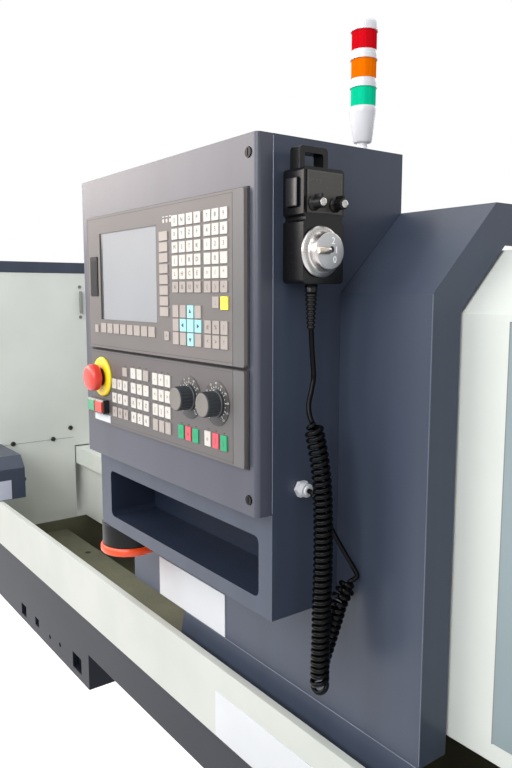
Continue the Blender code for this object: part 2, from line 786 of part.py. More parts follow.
def front_panel():
    top = RAIL_BOTTOM - SEAT
    shape = box((LEFT_END, RIGHT_END), (BAND_FRONT, RAIL_REAR), (BAND_BOTTOM, top))
    block = box((LEFT_END, BLOCK_RIGHT), (BAND_FRONT, BLOCK_REAR), (BLOCK_BOTTOM, BAND_BOTTOM + EDGE))
    block = cut(block, box((LEFT_END - EDGE, BLOCK_RIGHT + EDGE), (PAN_FRONT - SEAT, BLOCK_REAR + EDGE),
                           (SHELF_HEIGHT - PAN_SHEET - SEAT, RAIL_BOTTOM)))
    shape = join(shape, block)
    back = BAND_FRONT + PORT_DEPTH
    cutters = [box((x - w / 2, x + w / 2), (BAND_FRONT - EDGE, back), (z - h / 2, z + h / 2)) for x, z, w,
               h in PORTS]
    cutters += [turned([(0.0, -EDGE), (TAPPED_RADIUS, -EDGE), (TAPPED_RADIUS, PORT_DEPTH),
                        (0.0, PORT_DEPTH)], "Y",
                       (x, BAND_FRONT, z), SMALL_STEPS) for x, z in TAPPED_HOLES]
    return finish("front_panel", cut(shape, gather(cutters)), "slate_paint")


def headstock():
    bottom = WAY_TOP + SEAT
    shape = box((HEAD_LEFT, HEAD_RIGHT), (HEAD_FRONT, HEAD_REAR), (bottom, HEAD_TOP), HEAD_ROUNDING, 2)
    nose = disc(NOSE_RADIUS, HEAD_RIGHT - HEAD_FOOT, NOSE_END, "X", (0, SPINDLE_Y, SPINDLE_Z), ROUND_STEPS,
                EDGE)
    shape = join(shape, nose)
    foot = box((HEAD_LEFT + HEAD_FOOT, HEAD_RIGHT - HEAD_FOOT),
               (HEAD_FRONT - HEAD_FOOT, HEAD_REAR + HEAD_FOOT),
               (bottom, bottom + HEAD_FOOT_HEIGHT), EDGE)
    return finish("headstock", join(shape, foot), "cast_paint")


def headstock_cover():
    bottom = LEG_TOP + SEAT
    outer = box((LEFT_END, HEAD_WALL), (RAIL_FRONT, PAN_REAR), (bottom, COVER_TOP))
    inner = box((LEFT_END + SHEET, HEAD_WALL - SHEET), (RAIL_FRONT + SHEET, PAN_REAR - SHEET),
                (bottom - EDGE, COVER_TOP - SHEET))
    shape = cut(outer, inner)
    panel_gap = box((LEFT_END - EDGE, HEAD_WALL + EDGE), (RAIL_FRONT - EDGE, BLOCK_REAR + SEAT),
                    (bottom - EDGE, RAIL_BOTTOM + SEAT))
    bed_gap = box((HEAD_WALL - WALL_CUT, HEAD_WALL + EDGE),
                  (BED_FRONT - BED_NOTCH_GAP, BED_REAR + BED_NOTCH_GAP),
                  (BED_BOTTOM - BED_NOTCH_GAP, WAY_TOP + BED_NOTCH_GAP))
    bore = disc(WALL_BORE, HEAD_WALL - WALL_CUT, HEAD_WALL + EDGE, "X", (0, SPINDLE_Y, SPINDLE_Z))
    return finish("headstock_cover", cut(shape, panel_gap, bed_gap, bore), "cream_paint")


def headstock_roof():
    x = (LEFT_END, HEAD_WALL + ROOF_OVERHANG)
    outline = rounded((RAIL_FRONT, PAN_REAR), (COVER_TOP + SEAT, ROOF_TOP), 0.004, 2)
    return finish("headstock_roof", prism(outline, "X", *x), "slate_paint")


def left_guard():
    """Low guard beside the wall: a folded hood whose free corner is cut off."""
    x = (HEAD_WALL + SEAT, LEFT_GUARD_RIGHT)
    bottom = RAIL_TOP + SEAT
    outline = [(x[0], bottom), (x[1], bottom), (x[1], LEFT_GUARD_TOP - LEFT_GUARD_CORNER),
               (x[1] - LEFT_GUARD_CORNER, LEFT_GUARD_TOP), (x[0], LEFT_GUARD_TOP)]
    shape = prism(outline, "Y", RAIL_FRONT, LEFT_GUARD_REAR)
    inside = [(x[0] + SHEET, bottom - EDGE), (x[1] - SHEET, bottom - EDGE),
              (x[1] - SHEET, LEFT_GUARD_TOP - LEFT_GUARD_CORNER - SHEET / 2),
              (x[1] - LEFT_GUARD_CORNER - SHEET / 2, LEFT_GUARD_TOP - SHEET),
              (x[0] + SHEET, LEFT_GUARD_TOP - SHEET)]
    shape = cut(shape, prism(inside, "Y", RAIL_FRONT + SHEET, LEFT_GUARD_REAR - SHEET))
    return finish("left_guard", shape, "slate_paint")


def guard_path():
    slope_end = (GUARD_FRONT + GUARD_SLOPE_DEPTH, GUARD_BEND + GUARD_SLOPE_RISE)
    return [(GUARD_FRONT, GUARD_BOTTOM), (GUARD_FRONT, GUARD_BEND), slope_end,
            (GUARD_TOP_REAR, slope_end[1])]


def tail_guard_path():
    """The moving guard's section set back by one distance, so that the two pass each other."""
    inner = offset_path(guard_path(), -TAIL_GUARD_SETBACK)
    return [(inner[0][0], TAIL_GUARD_BOTTOM)] + inner[1:]


def tail_guard():
    path = tail_guard_path()
    face = path[0][0]
    right = RIGHT_END
    shape = prism(folded(path, -SHEET), "X", TAIL_GUARD_LEFT, right)
    end_bottom = pan_floor()
    end = path + [(PAN_REAR, path[-1][1]), (PAN_REAR, end_bottom), (LEG_FRONT, end_bottom),
                  (face, SHELF_HEIGHT)]
    shape = join(shape, prism(end, "X", right - SHEET, right))
    low = TAIL_GUARD_BOTTOM + TAIL_PANEL_MARGIN
    high = path[1][1] - TAIL_PANEL_MARGIN
    recess = box((TAIL_PANEL_LEFT, TAIL_PANEL_RIGHT), (face - EDGE, face + TAIL_PANEL_RECESS), (low, high))
    backing = box((TAIL_PANEL_LEFT - SHEET, TAIL_PANEL_RIGHT + SHEET),
                  (face + SHEET / 2, face + TAIL_PANEL_RECESS + SHEET), (low - SHEET, high + SHEET))
    sill = box((TAIL_GUARD_LEFT, right - SHEET / 2), (face, face + TAIL_SILL_DEPTH),
               (TAIL_GUARD_BOTTOM - TAIL_SILL_HEIGHT, TAIL_GUARD_BOTTOM + EDGE))
    return finish("tail_guard", join(cut(join(shape, backing), recess), sill), "cream_paint")


def rear_guard():
    start = PAN_REAR + SEAT
    path = [(start + SHEET, REAR_GUARD_BOTTOM), (start + SHEET, REAR_GUARD_BEND),
            (start + SHEET - REAR_GUARD_LEAN, REAR_GUARD_TOP),
            (start + SHEET - 2 * REAR_GUARD_LEAN, REAR_GUARD_TOP)]
    return finish("rear_guard", prism(folded(path, SHEET), "X", HEAD_WALL + SEAT, RIGHT_END - SHEET - SEAT),
                  "cream_paint")


def rear_cabinet():
    """Electrical cabinet behind the headstock leg, with a bolted back plate and pressed louvres."""
    shape = box((CABINET_LEFT, CABINET_RIGHT), (LEG_REAR + SEAT, CABINET_REAR),
                (CABINET_BOTTOM, CABINET_TOP),
                CABINET_ROUNDING)
    x = (CABINET_LEFT + CABINET_COVER_INSET, CABINET_RIGHT - CABINET_COVER_INSET)
    z = (CABINET_BOTTOM + CABINET_COVER_INSET, CABINET_TOP - CABINET_COVER_INSET)
    plate_back = CABINET_REAR + CABINET_COVER
    plate = prism(rounded(x, z, CABINET_COVER_CORNER), "Y", CABINET_REAR - EDGE, plate_back)
    slots = []
    middle = (x[0] + x[1]) / 2
    for index in range(LOUVRES):
        low = z[0] + LOUVRE_START + index * LOUVRE_PITCH
        outline = [(CABINET_REAR + EDGE, low), (plate_back + EDGE, low),
                   (plate_back + EDGE, low + LOUVRE_HEIGHT)]
        slots.append(prism(outline, "X", middle - LOUVRE_LENGTH / 2, middle + LOUVRE_LENGTH / 2))
    return finish("rear_cabinet", join(shape, cut(plate, gather(slots))), "slate_paint")


def motor(name, body, axis, centre, start, sign):
    """Square servo motor: flange, ribbed barrel and rear cap along one axis."""
    a, b = [i for i in range(3) if i != AXES[axis]]
    parts = []
    for half, near, far in ((MOTOR_HALF, 0.0, MOTOR_FLANGE),
                            (MOTOR_HALF - MOTOR_STEP, MOTOR_FLANGE - MOTOR_OVERLAP,
                             MOTOR_LENGTH - MOTOR_CAP),
                            (MOTOR_HALF - 2 * MOTOR_STEP, MOTOR_LENGTH - MOTOR_CAP - MOTOR_OVERLAP,
                             MOTOR_LENGTH)):
        outline = rounded((centre[a] - half, centre[a] + half), (centre[b] - half, centre[b] + half),
                          MOTOR_CORNER, 2)
        parts.append(prism(outline, axis, *sorted((start + sign * near, start + sign * far))))
    return finish(name, join(*parts), "black_plastic", body)


def chuck_body():
    """Three-jaw chuck with a radial slot under each jaw."""
    back = NOSE_END + CHUCK_GAP
    front = back + CHUCK_BACK + CHUCK_THICKNESS
    depth = CHUCK_BACK + CHUCK_THICKNESS
    register = CHUCK_RADIUS - CHUCK_REGISTER
    profile = [(0.0, 0.0), (register, 0.0), (register, CHUCK_BACK), (CHUCK_RADIUS, CHUCK_BACK),
               (CHUCK_RADIUS, depth - CHUCK_CHAMFER), (CHUCK_RADIUS - CHUCK_CHAMFER, depth),
               (CHUCK_BORE, depth),
               (CHUCK_BORE, CHUCK_BORE_FLOOR), (0.0, CHUCK_BORE_FLOOR)]
    shape = turned(profile, "X", (back, SPINDLE_Y, SPINDLE_Z), 48)
    slots = []
    for index in range(3):
        slot = box((front - JAW_SLOT_DEPTH, front + EDGE), (-JAW_SLOT_WIDTH / 2, JAW_SLOT_WIDTH / 2),
                   (CHUCK_BORE - CHUCK_CHAMFER, CHUCK_RADIUS + EDGE))
        slots.append(turn_about_spindle(slot, index))
    return finish("chuck_body", cut(shape, *slots), "ground_steel", "spindle", (back, SPINDLE_Y, SPINDLE_Z),
                  True)


def turn_about_spindle(shape, index):
    angle = Matrix.Rotation(math.tau * index / 3, 4, "X")
    bmesh.ops.transform(shape, matrix=Matrix.Translation((0, SPINDLE_Y, SPINDLE_Z)) @ angle,
                        verts=shape.verts[:])
    return shape


def jaw(index):
    face = NOSE_END + CHUCK_GAP + CHUCK_BACK + CHUCK_THICKNESS
    half = JAW_WIDTH / 2
    outer = JAW_INNER + JAW_LENGTH
    high, middle, low = (face + JAW_HEIGHT * share for share in (1.0, 0.66, 0.33))
    first = JAW_INNER + JAW_STEP
    second = first + JAW_STEP
    profile = [(face + SEAT, JAW_INNER), (high, JAW_INNER), (high, first), (middle, first),
               (middle, second),
               (low, second), (low, outer), (face + SEAT, outer)]
    shape = prism(profile, "Y", -half, half)
    tongue = box((face - JAW_SLOT_DEPTH + SEAT, face + JAW_TONGUE),
                 (-JAW_SLOT_WIDTH / 2 + SEAT, JAW_SLOT_WIDTH / 2 - SEAT), (JAW_INNER, outer))
    shape = turn_about_spindle(join(shape, tongue), index)
    return finish("jaw_%d" % (index + 1), shape, "ground_steel", "spindle")


def saddle():
    bottom = WAY_TOP + SEAT
    top = bottom + SADDLE_THICKNESS
    front_wing = SADDLE_FRONT + WING_LENGTH
    rear_wing = SADDLE_REAR - WING_LENGTH
    plan = [(SADDLE_LEFT, SADDLE_FRONT), (SADDLE_RIGHT, SADDLE_FRONT), (SADDLE_RIGHT, front_wing),
            (BRIDGE_RIGHT, front_wing + WING_SLOPE), (BRIDGE_RIGHT, rear_wing - WING_SLOPE),
            (SADDLE_RIGHT, rear_wing), (SADDLE_RIGHT, SADDLE_REAR), (SADDLE_LEFT, SADDLE_REAR),
            (SADDLE_LEFT, rear_wing), (BRIDGE_LEFT, rear_wing - WING_SLOPE),
            (BRIDGE_LEFT, front_wing + WING_SLOPE),
            (SADDLE_LEFT, front_wing)]
    shape = prism(plan, "Z", bottom, top, 0.003)
    tail = [(SLIDE_CENTRE - DOVETAIL_TOP_HALF + DOVETAIL_FLARE, top - EDGE),
            (SLIDE_CENTRE + DOVETAIL_TOP_HALF - DOVETAIL_FLARE, top - EDGE),
            (SLIDE_CENTRE + DOVETAIL_TOP_HALF, top + DOVETAIL_HEIGHT),
            (SLIDE_CENTRE - DOVETAIL_TOP_HALF, top + DOVETAIL_HEIGHT)]
    middle = (BED_FRONT + BED_REAR) / 2
    arm_half = SCREW_SLOT / 2 - ARM_GAP
    arm = box((SLIDE_CENTRE - ARM_HALF, SLIDE_CENTRE + ARM_HALF), (middle - arm_half, middle + arm_half),
              (VEE_FLOOR - ARM_BELOW, bottom + EDGE))
    shape = join(shape, prism(tail, "Y", SADDLE_FRONT + DOVETAIL_SETBACK, SADDLE_REAR - DOVETAIL_SETBACK),
                 arm)
    return finish("saddle", shape, "cast_paint", "carriage")


def apron():
    top = WAY_TOP - EDGE / 2
    x = (SADDLE_LEFT + APRON_MARGIN, SADDLE_RIGHT - APRON_MARGIN)
    shape = box(x, (SADDLE_FRONT, SADDLE_FRONT + APRON_DEPTH), (APRON_BOTTOM, top), 0.004)
    seat = box((x[0] + APRON_SEAT, x[1] - APRON_SEAT),
               (SADDLE_FRONT + APRON_SEAT / 2, SADDLE_FRONT + APRON_DEPTH - APRON_SEAT / 2),
               (top - EDGE, WAY_TOP))
    return finish("apron", join(shape, seat), "cast_paint", "carriage")


def guard_bracket():
    """Welded arm that carries the sliding guard in front of the apron, below the fixed guard's sill."""
    rear = SADDLE_FRONT - SEAT
    front = GUARD_FRONT + SHEET + SEAT
    x = (BRACKET_LEFT, BRACKET_RIGHT)
    arm_bottom = BRACKET_ARM_TOP - BRACKET_PLATE
    arm = box(x, (front, rear), (arm_bottom, BRACKET_ARM_TOP))
    back = box(x, (rear - BRACKET_PLATE, rear), (BRACKET_BOTTOM, BRACKET_ARM_TOP))
    upright = box((UPRIGHT_LEFT, UPRIGHT_RIGHT), (front, front + BRACKET_PLATE), (arm_bottom, UPRIGHT_TOP))
    outline = [(front + EDGE, arm_bottom + EDGE), (rear - EDGE, arm_bottom + EDGE),
               (rear - EDGE, BRACKET_BOTTOM + EDGE)]
    ribs = [prism(outline, "X", rib, rib + BRACKET_RIB)
            for rib in (BRACKET_LEFT + EDGE, BRACKET_RIGHT - EDGE - BRACKET_RIB)]
    return finish("guard_bracket", join(arm, back, upright, gather(ribs)), "slate_paint", "carriage")


def guard_cover():
    """Sliding guard: a bent front sheet with a folded band down each side and a skirt into the rail."""
    path = guard_path()
    shape = prism(folded(path, -SHEET), "X", GUARD_LEFT, GUARD_RIGHT)
    band = folded(path, -GUARD_RETURN)
    shape = join(shape, gather([prism(band, "X", GUARD_LEFT, GUARD_LEFT + SHEET),
                                prism(band, "X", GUARD_RIGHT - SHEET, GUARD_RIGHT)]))
    skirt = folded([(SKIRT_FRONT, SKIRT_BOTTOM), (GUARD_FRONT, GUARD_BOTTOM),
                    (GUARD_FRONT, GUARD_BOTTOM + 0.01)], -SHEET)
    shape = join(shape, prism(skirt, "X", SKIRT_LEFT, GUARD_RIGHT))
    return finish("guard_cover", shape, "slate_paint", "carriage")


def console_rear():
    return GUARD_FRONT - SEAT


def console_box():
    """Console housing: its back follows the guard's slope; a door opening above, a tray below."""
    rear = console_rear()
    ledge = GUARD_FRONT + GUARD_SLOPE_DEPTH
    path = [(CONSOLE_FRONT, CONSOLE_BOTTOM), (CONSOLE_FRONT, CONSOLE_TOP), (ledge, CONSOLE_TOP),
            (ledge, GUARD_BEND + GUARD_SLOPE_RISE + SEAT * 1.5), (rear, GUARD_BEND + SEAT * 1.5),
            (rear, CONSOLE_BOTTOM)]
    shape = prism(path, "X", CONSOLE_LEFT, CONSOLE_RIGHT)
    cavity = box((CONSOLE_LEFT + CONSOLE_WALL, CONSOLE_RIGHT - CONSOLE_WALL),
                 (CONSOLE_FRONT - EDGE, CONSOLE_FRONT + CAVITY_DEPTH),
                 (DOOR_BOTTOM + CONSOLE_WALL, CONSOLE_TOP - CONSOLE_WALL))
    tray = prism(rounded((CONSOLE_LEFT + TRAY_SIDE, CONSOLE_RIGHT - TRAY_SIDE + 0.009),
                         (TRAY_BOTTOM, TRAY_TOP), TRAY_CORNER),
                 "Y", CONSOLE_FRONT - EDGE, CONSOLE_FRONT + TRAY_DEPTH)
    return finish("console_box", cut(shape, cavity, tray), "slate_paint", "carriage")


def door_planes():
    """Front and back of the console door."""
    back = CONSOLE_FRONT - SEAT
    return back - DOOR_THICKNESS + SEAT, back


def console_door():
    front, back = door_planes()
    x = (CONSOLE_LEFT, CONSOLE_RIGHT)
    plan = []
    for point in rounded(x, (front, back + DOOR_CORNER), DOOR_CORNER, 3):
        if point[1] <= back - 0.0001:
            plan.append(point)
    plan = sorted([p for p in plan if p[0] < (x[0] + x[1]) / 2], key=lambda p: -p[1]) + \
        sorted([p for p in plan if p[0] >= (x[0] + x[1]) / 2], key=lambda p: p[1])
    plan = [(x[0], back)] + plan + [(x[1], back)]
    shape = prism(plan, "Z", DOOR_BOTTOM, CONSOLE_TOP)
    hollow = box((x[0] + CONSOLE_WALL, x[1] - 2 * CONSOLE_WALL), (front + DOOR_SKIN, back + EDGE),
                 (DOOR_BOTTOM + 2 * CONSOLE_WALL, CONSOLE_TOP - 2 * CONSOLE_WALL))
    locks = gather([disc(LOCK_RADIUS + SEAT, front - EDGE, front + LOCK_DEPTH, "Y", (LOCK_X, 0, z),
                         SMALL_STEPS)
                    for z in LOCK_HEIGHTS])
    return finish("console_door", cut(shape, hollow, locks), "slate_paint", "door_hinge",
                  (CONSOLE_LEFT, back, CONSOLE_TOP))


def door_lock(name, z):
    front = door_planes()[0]
    shape = disc(LOCK_RADIUS, front - LOCK_PROUD, front + LOCK_DEPTH - SEAT, "Y", (LOCK_X, 0, z),
                 SMALL_STEPS)
    width, length = LOCK_SLOT
    slot = box((LOCK_X - width / 2, LOCK_X + width / 2), (front - EDGE, front - LOCK_PROUD / 3),
               (z - length / 2, z + length / 2))
    return finish(name, cut(shape, slot), "black_plastic", "door_hinge", (LOCK_X, front, z), True)


def key_group(left, top, columns, rows, pitch_across, pitch_down, width, height, face):
    """Flat membrane keys that stand proud of a panel's face."""
    keys = []
    for row in range(rows):
        for column in range(columns):
            x = left + column * pitch_across
            z = top - row * pitch_down
            keys.append(box((x, x + width), (face - KEY_HEIGHT, face + FUSE), (z - height, z)))
    return keys


def all_keys(groups, face):
    return [key for group in groups for key in key_group(*group, face)]


def panel_planes():
    back = door_planes()[0] - SEAT
    return back - PANEL_THICKNESS, back


def display_panel():
    face, back = panel_planes()
    outline = rounded((PANEL_LEFT, PANEL_RIGHT), (DISPLAY_BOTTOM, DISPLAY_TOP), PANEL_CORNER, 2)
    opening = box((SCREEN_LEFT - SCREEN_FRAME, SCREEN_RIGHT), (face - EDGE, face + SCREEN_RECESS),
                  (SCREEN_BOTTOM, SCREEN_TOP))
    flap_pocket = box((USB_LEFT - BUTTON_GAP, USB_RIGHT + BUTTON_GAP),
                      (face - EDGE, face + USB_THICKNESS - USB_PROUD + SEAT),
                      (USB_BOTTOM - BUTTON_GAP, USB_TOP + BUTTON_GAP))
    groove = box((BORDER_X, BORDER_X + BORDER_GROOVE), (face - EDGE, face + GROOVE_DEPTH),
                 (DISPLAY_BOTTOM - EDGE, DISPLAY_TOP - EDGE))
    shape = cut(prism(outline, "Y", face, back), gather([opening, flap_pocket, groove]))
    shape = join(shape, gather(all_keys(DISPLAY_KEYS, face)))
    return finish("display_panel", shape, "panel_grey", "door_hinge")


def screen():
    face = panel_planes()[0]
    back = face + SCREEN_RECESS - SEAT
    shape = box((SCREEN_LEFT, SCREEN_RIGHT - SEAT), (back - SCREEN_GLASS, back),
                (SCREEN_BOTTOM + SEAT, SCREEN_TOP - SEAT))
    return finish("screen", shape, "glass", "door_hinge")


def usb_flap():
    face = panel_planes()[0]
    shape = box((USB_LEFT, USB_RIGHT), (face - USB_PROUD, face - USB_PROUD + USB_THICKNESS),
                (USB_BOTTOM, USB_TOP), 0.0006)
    return finish("usb_flap", shape, "black_plastic", "door_hinge", (USB_LEFT, face - USB_PROUD, USB_TOP))


def machine_panel():
    face, back = panel_planes()
    outline = rounded((PANEL_LEFT, PANEL_RIGHT), (KEYBOARD_BOTTOM, KEYBOARD_TOP), PANEL_CORNER, 2)
    estop_hole = disc(ESTOP_NECK + BUTTON_GAP, face - EDGE, back + EDGE, "Y", (ESTOP_X, 0, ESTOP_Z),
                      SMALL_STEPS)
    groove = box((BORDER_X, BORDER_X + BORDER_GROOVE), (face - EDGE, face + GROOVE_DEPTH),
                 (KEYBOARD_BOTTOM + EDGE, KEYBOARD_TOP + EDGE))
    shape = cut(prism(outline, "Y", face, back), gather([estop_hole, groove]))
    dials = [disc(DIAL_RADIUS, face - DIAL_THICKNESS, face + FUSE, "Y", (x, 0, KNOB_Z), ROUND_STEPS)
             for x in KNOB_X]
    shape = join(shape, gather(all_keys(MACHINE_KEYS, face) + dials))
    return finish("machine_panel", shape, "keyboard_grey", "door_hinge")


def knob(name, x):
    """Fluted override knob with a skirt and a pointer slot."""
    base = panel_planes()[0] - DIAL_THICKNESS - SEAT
    steps = 3 * FLUTES
    outline = []
    for step in range(steps):
        radius = KNOB_RADIUS if step % 3 < 2 else KNOB_RADIUS - FLUTE_DEPTH
        angle = math.tau * step / steps
        outline.append((x + radius * math.cos(angle), KNOB_Z + radius * math.sin(angle)))
    shape = prism(outline, "Y", base - KNOB_HEIGHT, base - 0.001)
    skirt = disc(KNOB_SKIRT, base - 0.003, base, "Y", (x, 0, KNOB_Z), 24, 0.0006)
    pointer = box((x - POINTER_WIDTH / 2, x + POINTER_WIDTH / 2),
                  (base - KNOB_HEIGHT - EDGE, base - KNOB_HEIGHT + GROOVE_DEPTH),
                  (KNOB_Z + EDGE, KNOB_Z + KNOB_RADIUS + EDGE))
    return finish(name, cut(join(shape, skirt), pointer), "black_plastic", "door_hinge", (x, base, KNOB_Z),
                  True)


def estop_collar():
    face = panel_planes()[0]
    back = face - SEAT
    shape = ring(ESTOP_NECK + BUTTON_GAP, ESTOP_RING, back - ESTOP_RING_THICKNESS, back, "Y",
                 (ESTOP_X, 0, ESTOP_Z), 28)
    return finish("estop_collar", shape, "yellow_plastic", "door_hinge", None, True)


def estop_button():
    face = panel_planes()[0]
    front = face - ESTOP_STANDOFF
    profile = [(0.0, front), (ESTOP_HEAD * 0.55, front + 0.0006), (ESTOP_HEAD * 0.85, front + 0.0025),
               (ESTOP_HEAD, front + 0.006), (ESTOP_HEAD, front + ESTOP_HEAD_HEIGHT - 0.003),
               (ESTOP_HEAD * 0.85, front + ESTOP_HEAD_HEIGHT), (ESTOP_NECK, front + ESTOP_HEAD_HEIGHT),
               (ESTOP_NECK, face + 0.0005), (0.0, face + 0.0005)]
    shape = turned(profile, "Y", (ESTOP_X, 0, ESTOP_Z), 24)
    return finish("estop_button", shape, "red_plastic", "door_hinge", (ESTOP_X, front, ESTOP_Z), True)


def button_centres():
    middle = (BUTTON_BLOCK_LEFT + BUTTON_BLOCK_RIGHT) / 2
    return ((BUTTON_BLOCK_LEFT + BUTTON_RIM, middle - BUTTON_RIM / 2),
            (middle + BUTTON_RIM / 2, BUTTON_BLOCK_RIGHT - BUTTON_RIM))


def button_block():
    face = panel_planes()[0]
    back = face - SEAT
    front = back - BUTTON_BLOCK_HEIGHT
    shape = box((BUTTON_BLOCK_LEFT, BUTTON_BLOCK_RIGHT), (front, back),
                (BUTTON_BLOCK_BOTTOM, BUTTON_BLOCK_TOP), 0.0008)
    pockets = [box(x, (front - EDGE, front + BUTTON_SINK),
                   (BUTTON_BLOCK_BOTTOM + BUTTON_RIM, BUTTON_BLOCK_TOP - BUTTON_RIM))
               for x in button_centres()]
    return finish("button_block", cut(shape, *pockets), "black_plastic", "door_hinge")


def push_button(name, span, colour):
    front = panel_planes()[0] - SEAT - BUTTON_BLOCK_HEIGHT
    x = (span[0] + BUTTON_GAP, span[1] - BUTTON_GAP)
    z = (BUTTON_BLOCK_BOTTOM + BUTTON_RIM + BUTTON_GAP, BUTTON_BLOCK_TOP - BUTTON_RIM - BUTTON_GAP)
    shape = box(x, (front - BUTTON_PROUD, front + BUTTON_SINK - 0.003), z, 0.0006)
    origin = ((x[0] + x[1]) / 2, front - BUTTON_PROUD, (z[0] + z[1]) / 2)
    return finish(name, shape, colour, "door_hinge", origin)


def holder_outer():
    return CONSOLE_RIGHT + SEAT + HOLDER_THICKNESS


def pendant_span():
    return PENDANT_FRONT, PENDANT_FRONT + PENDANT_WIDTH


def pendant_holder():
    front, rear = pendant_span()
    outline = rounded((front + 0.008, rear - 0.006), (PENDANT_BOTTOM + 0.015, PENDANT_TOP - 0.006), 0.006,
                      2)
    return finish("pendant_holder", prism(outline, "X", CONSOLE_RIGHT + SEAT, holder_outer()),
                  "ground_steel", "carriage")


def pendant_face():
    return holder_outer() + SEAT + PENDANT_DEPTH


def pendant_body():
    """Moulded handset with rounded long edges, a grip loop on top and a waist above the hand wheel."""
    front, rear = pendant_span()
    x = (holder_outer() + SEAT, pendant_face())
    shape = prism(rounded((front, rear), (PENDANT_BOTTOM, PENDANT_TOP), PENDANT_CORNER, 3), "X", *x)
    middle = (x[0] + x[1]) / 2
    loop_x = (middle - LOOP_DEPTH / 2, middle + LOOP_DEPTH / 2)
    loop_y = (LOOP_FRONT, LOOP_FRONT + LOOP_WIDTH)
    loop = prism(rounded(loop_y, (PENDANT_TOP - 0.006, PENDANT_TOP + LOOP_HEIGHT), 0.004, 2), "X", *loop_x)
    hole_z = (PENDANT_TOP + FUSE, PENDANT_TOP + LOOP_HEIGHT - LOOP_BAR)
    hole = prism(rounded((loop_y[0] + LOOP_BAR, loop_y[1] - LOOP_BAR), hole_z, EDGE, 2), "X",
                 loop_x[0] - EDGE, loop_x[1] + EDGE)
    pocket = box((middle - ENABLE_WIDTH / 2 - BUTTON_GAP, middle + ENABLE_WIDTH / 2 + BUTTON_GAP),
                 (front - EDGE, front + ENABLE_SINK), (ENABLE_Z[0] - BUTTON_GAP, ENABLE_Z[1] + BUTTON_GAP))
    waist = []
    for y, deep in ((front - FUSE, front - FUSE + WAIST_DEPTH), (rear + FUSE, rear + FUSE - WAIST_DEPTH)):
        notch = list(zip((y, deep, deep, y), WAIST_HEIGHTS))
        waist.append(prism(notch, "X", x[0] - EDGE, x[1] + EDGE))
    plate = prism(rounded((front + PLATE_INSET, rear - PLATE_INSET),
                          (PLATE_BOTTOM, PENDANT_TOP - PLATE_INSET), 0.003, 2),
                  "X", x[1] - EDGE, x[1] + PLATE_THICKNESS)
    shape = cut(join(shape, cut(loop, hole), plate), pocket, gather(waist))
    return finish("pendant_body", shape, "black_plastic", "carriage")


def pendant_wheel():
    """Hand wheel of the pulse generator: scale flange, knurled drum and a crank pin."""
    base = pendant_face() + SEAT
    centre = (0, PENDANT_WHEEL_Y, PENDANT_WHEEL_Z)
    profile = [(0.0, base), (FLANGE_RADIUS, base), (FLANGE_RADIUS, base + FLANGE_THICKNESS * 0.6),
               (FLANGE_RADIUS - 0.002, base + FLANGE_THICKNESS), (CRANK_RADIUS, base + FLANGE_THICKNESS),
               (CRANK_RADIUS, base + CRANK_HEIGHT - 0.002), (CRANK_RADIUS - 0.002, base + CRANK_HEIGHT),
               (0.006, base + CRANK_HEIGHT), (0.0, base + CRANK_HEIGHT)]
    shape = turned(profile, "X", centre, 28)
    pin = disc(CRANK_PIN_RADIUS, base + CRANK_HEIGHT - EDGE, base + CRANK_HEIGHT + 0.008, "X",
               (0, PENDANT_WHEEL_Y + CRANK_PIN[0], PENDANT_WHEEL_Z + CRANK_PIN[1]), SMALL_STEPS, 0.0008)
    return finish("pendant_wheel", join(shape, pin), "aluminium", "crank_axis",
                  (base, PENDANT_WHEEL_Y, PENDANT_WHEEL_Z), True)


def selector(name, y):
    base = pendant_face() + PLATE_THICKNESS + SEAT
    top = base + SELECTOR_HEIGHT
    profile = [(0.0, base), (SELECTOR_BASE, base), (SELECTOR_BASE, base + 0.003),
               (SELECTOR_CAP, base + 0.005), (SELECTOR_CAP, top - 0.001), (SELECTOR_CAP - 0.001, top), (0.0, top)]
    shape = turned(profile, "X", (0, y, SELECTOR_Z), 16)
    fin = box((base + 0.003, base + SELECTOR_HEIGHT - 0.002), (y - 0.002, y + 0.002),
              (SELECTOR_Z, SELECTOR_Z + SELECTOR_BASE))
    return finish(name, join(shape, fin), "black_plastic", "carriage", (base, y, SELECTOR_Z), True)


def enable_button():
    front = PENDANT_FRONT
    middle = (holder_outer() + SEAT + pendant_face()) / 2
    shape = box((middle - ENABLE_WIDTH / 2, middle + ENABLE_WIDTH / 2),
                (front - ENABLE_PROUD, front + 0.003), ENABLE_Z, 0.001)
    return finish("enable_button", shape, "black_plastic", "carriage",
                  (middle, front, (ENABLE_Z[0] + ENABLE_Z[1]) / 2))


def relief_place():
    return (holder_outer() + SEAT + pendant_face()) / 2, PENDANT_FRONT + RELIEF_SETBACK


def pendant_relief():
    """Ribbed strain relief that tapers down the cord."""
    x, y = relief_place()
    top = PENDANT_BOTTOM - SEAT
    ribs = 4
    profile = [(0.0, top), (RELIEF_RADIUS, top), (RELIEF_RADIUS, top - 0.004)]
    step = (RELIEF_LENGTH - 0.004) / ribs
    for index in range(ribs):
        radius = RELIEF_RADIUS - (RELIEF_RADIUS - CORD_RADIUS - 0.0008) * (index + 1) / ribs
        upper = top - 0.004 - index * step
        profile += [(radius - 0.0007, upper), (radius - 0.0007, upper - step * 0.4),
                    (radius, upper - step * 0.4), (radius, upper - step)]
    profile.append((0.0, top - RELIEF_LENGTH))
    return finish("pendant_relief", turned(profile, "Z", (x, y, 0), 12), "rubber", "carriage", (x, y, top),
                  True)


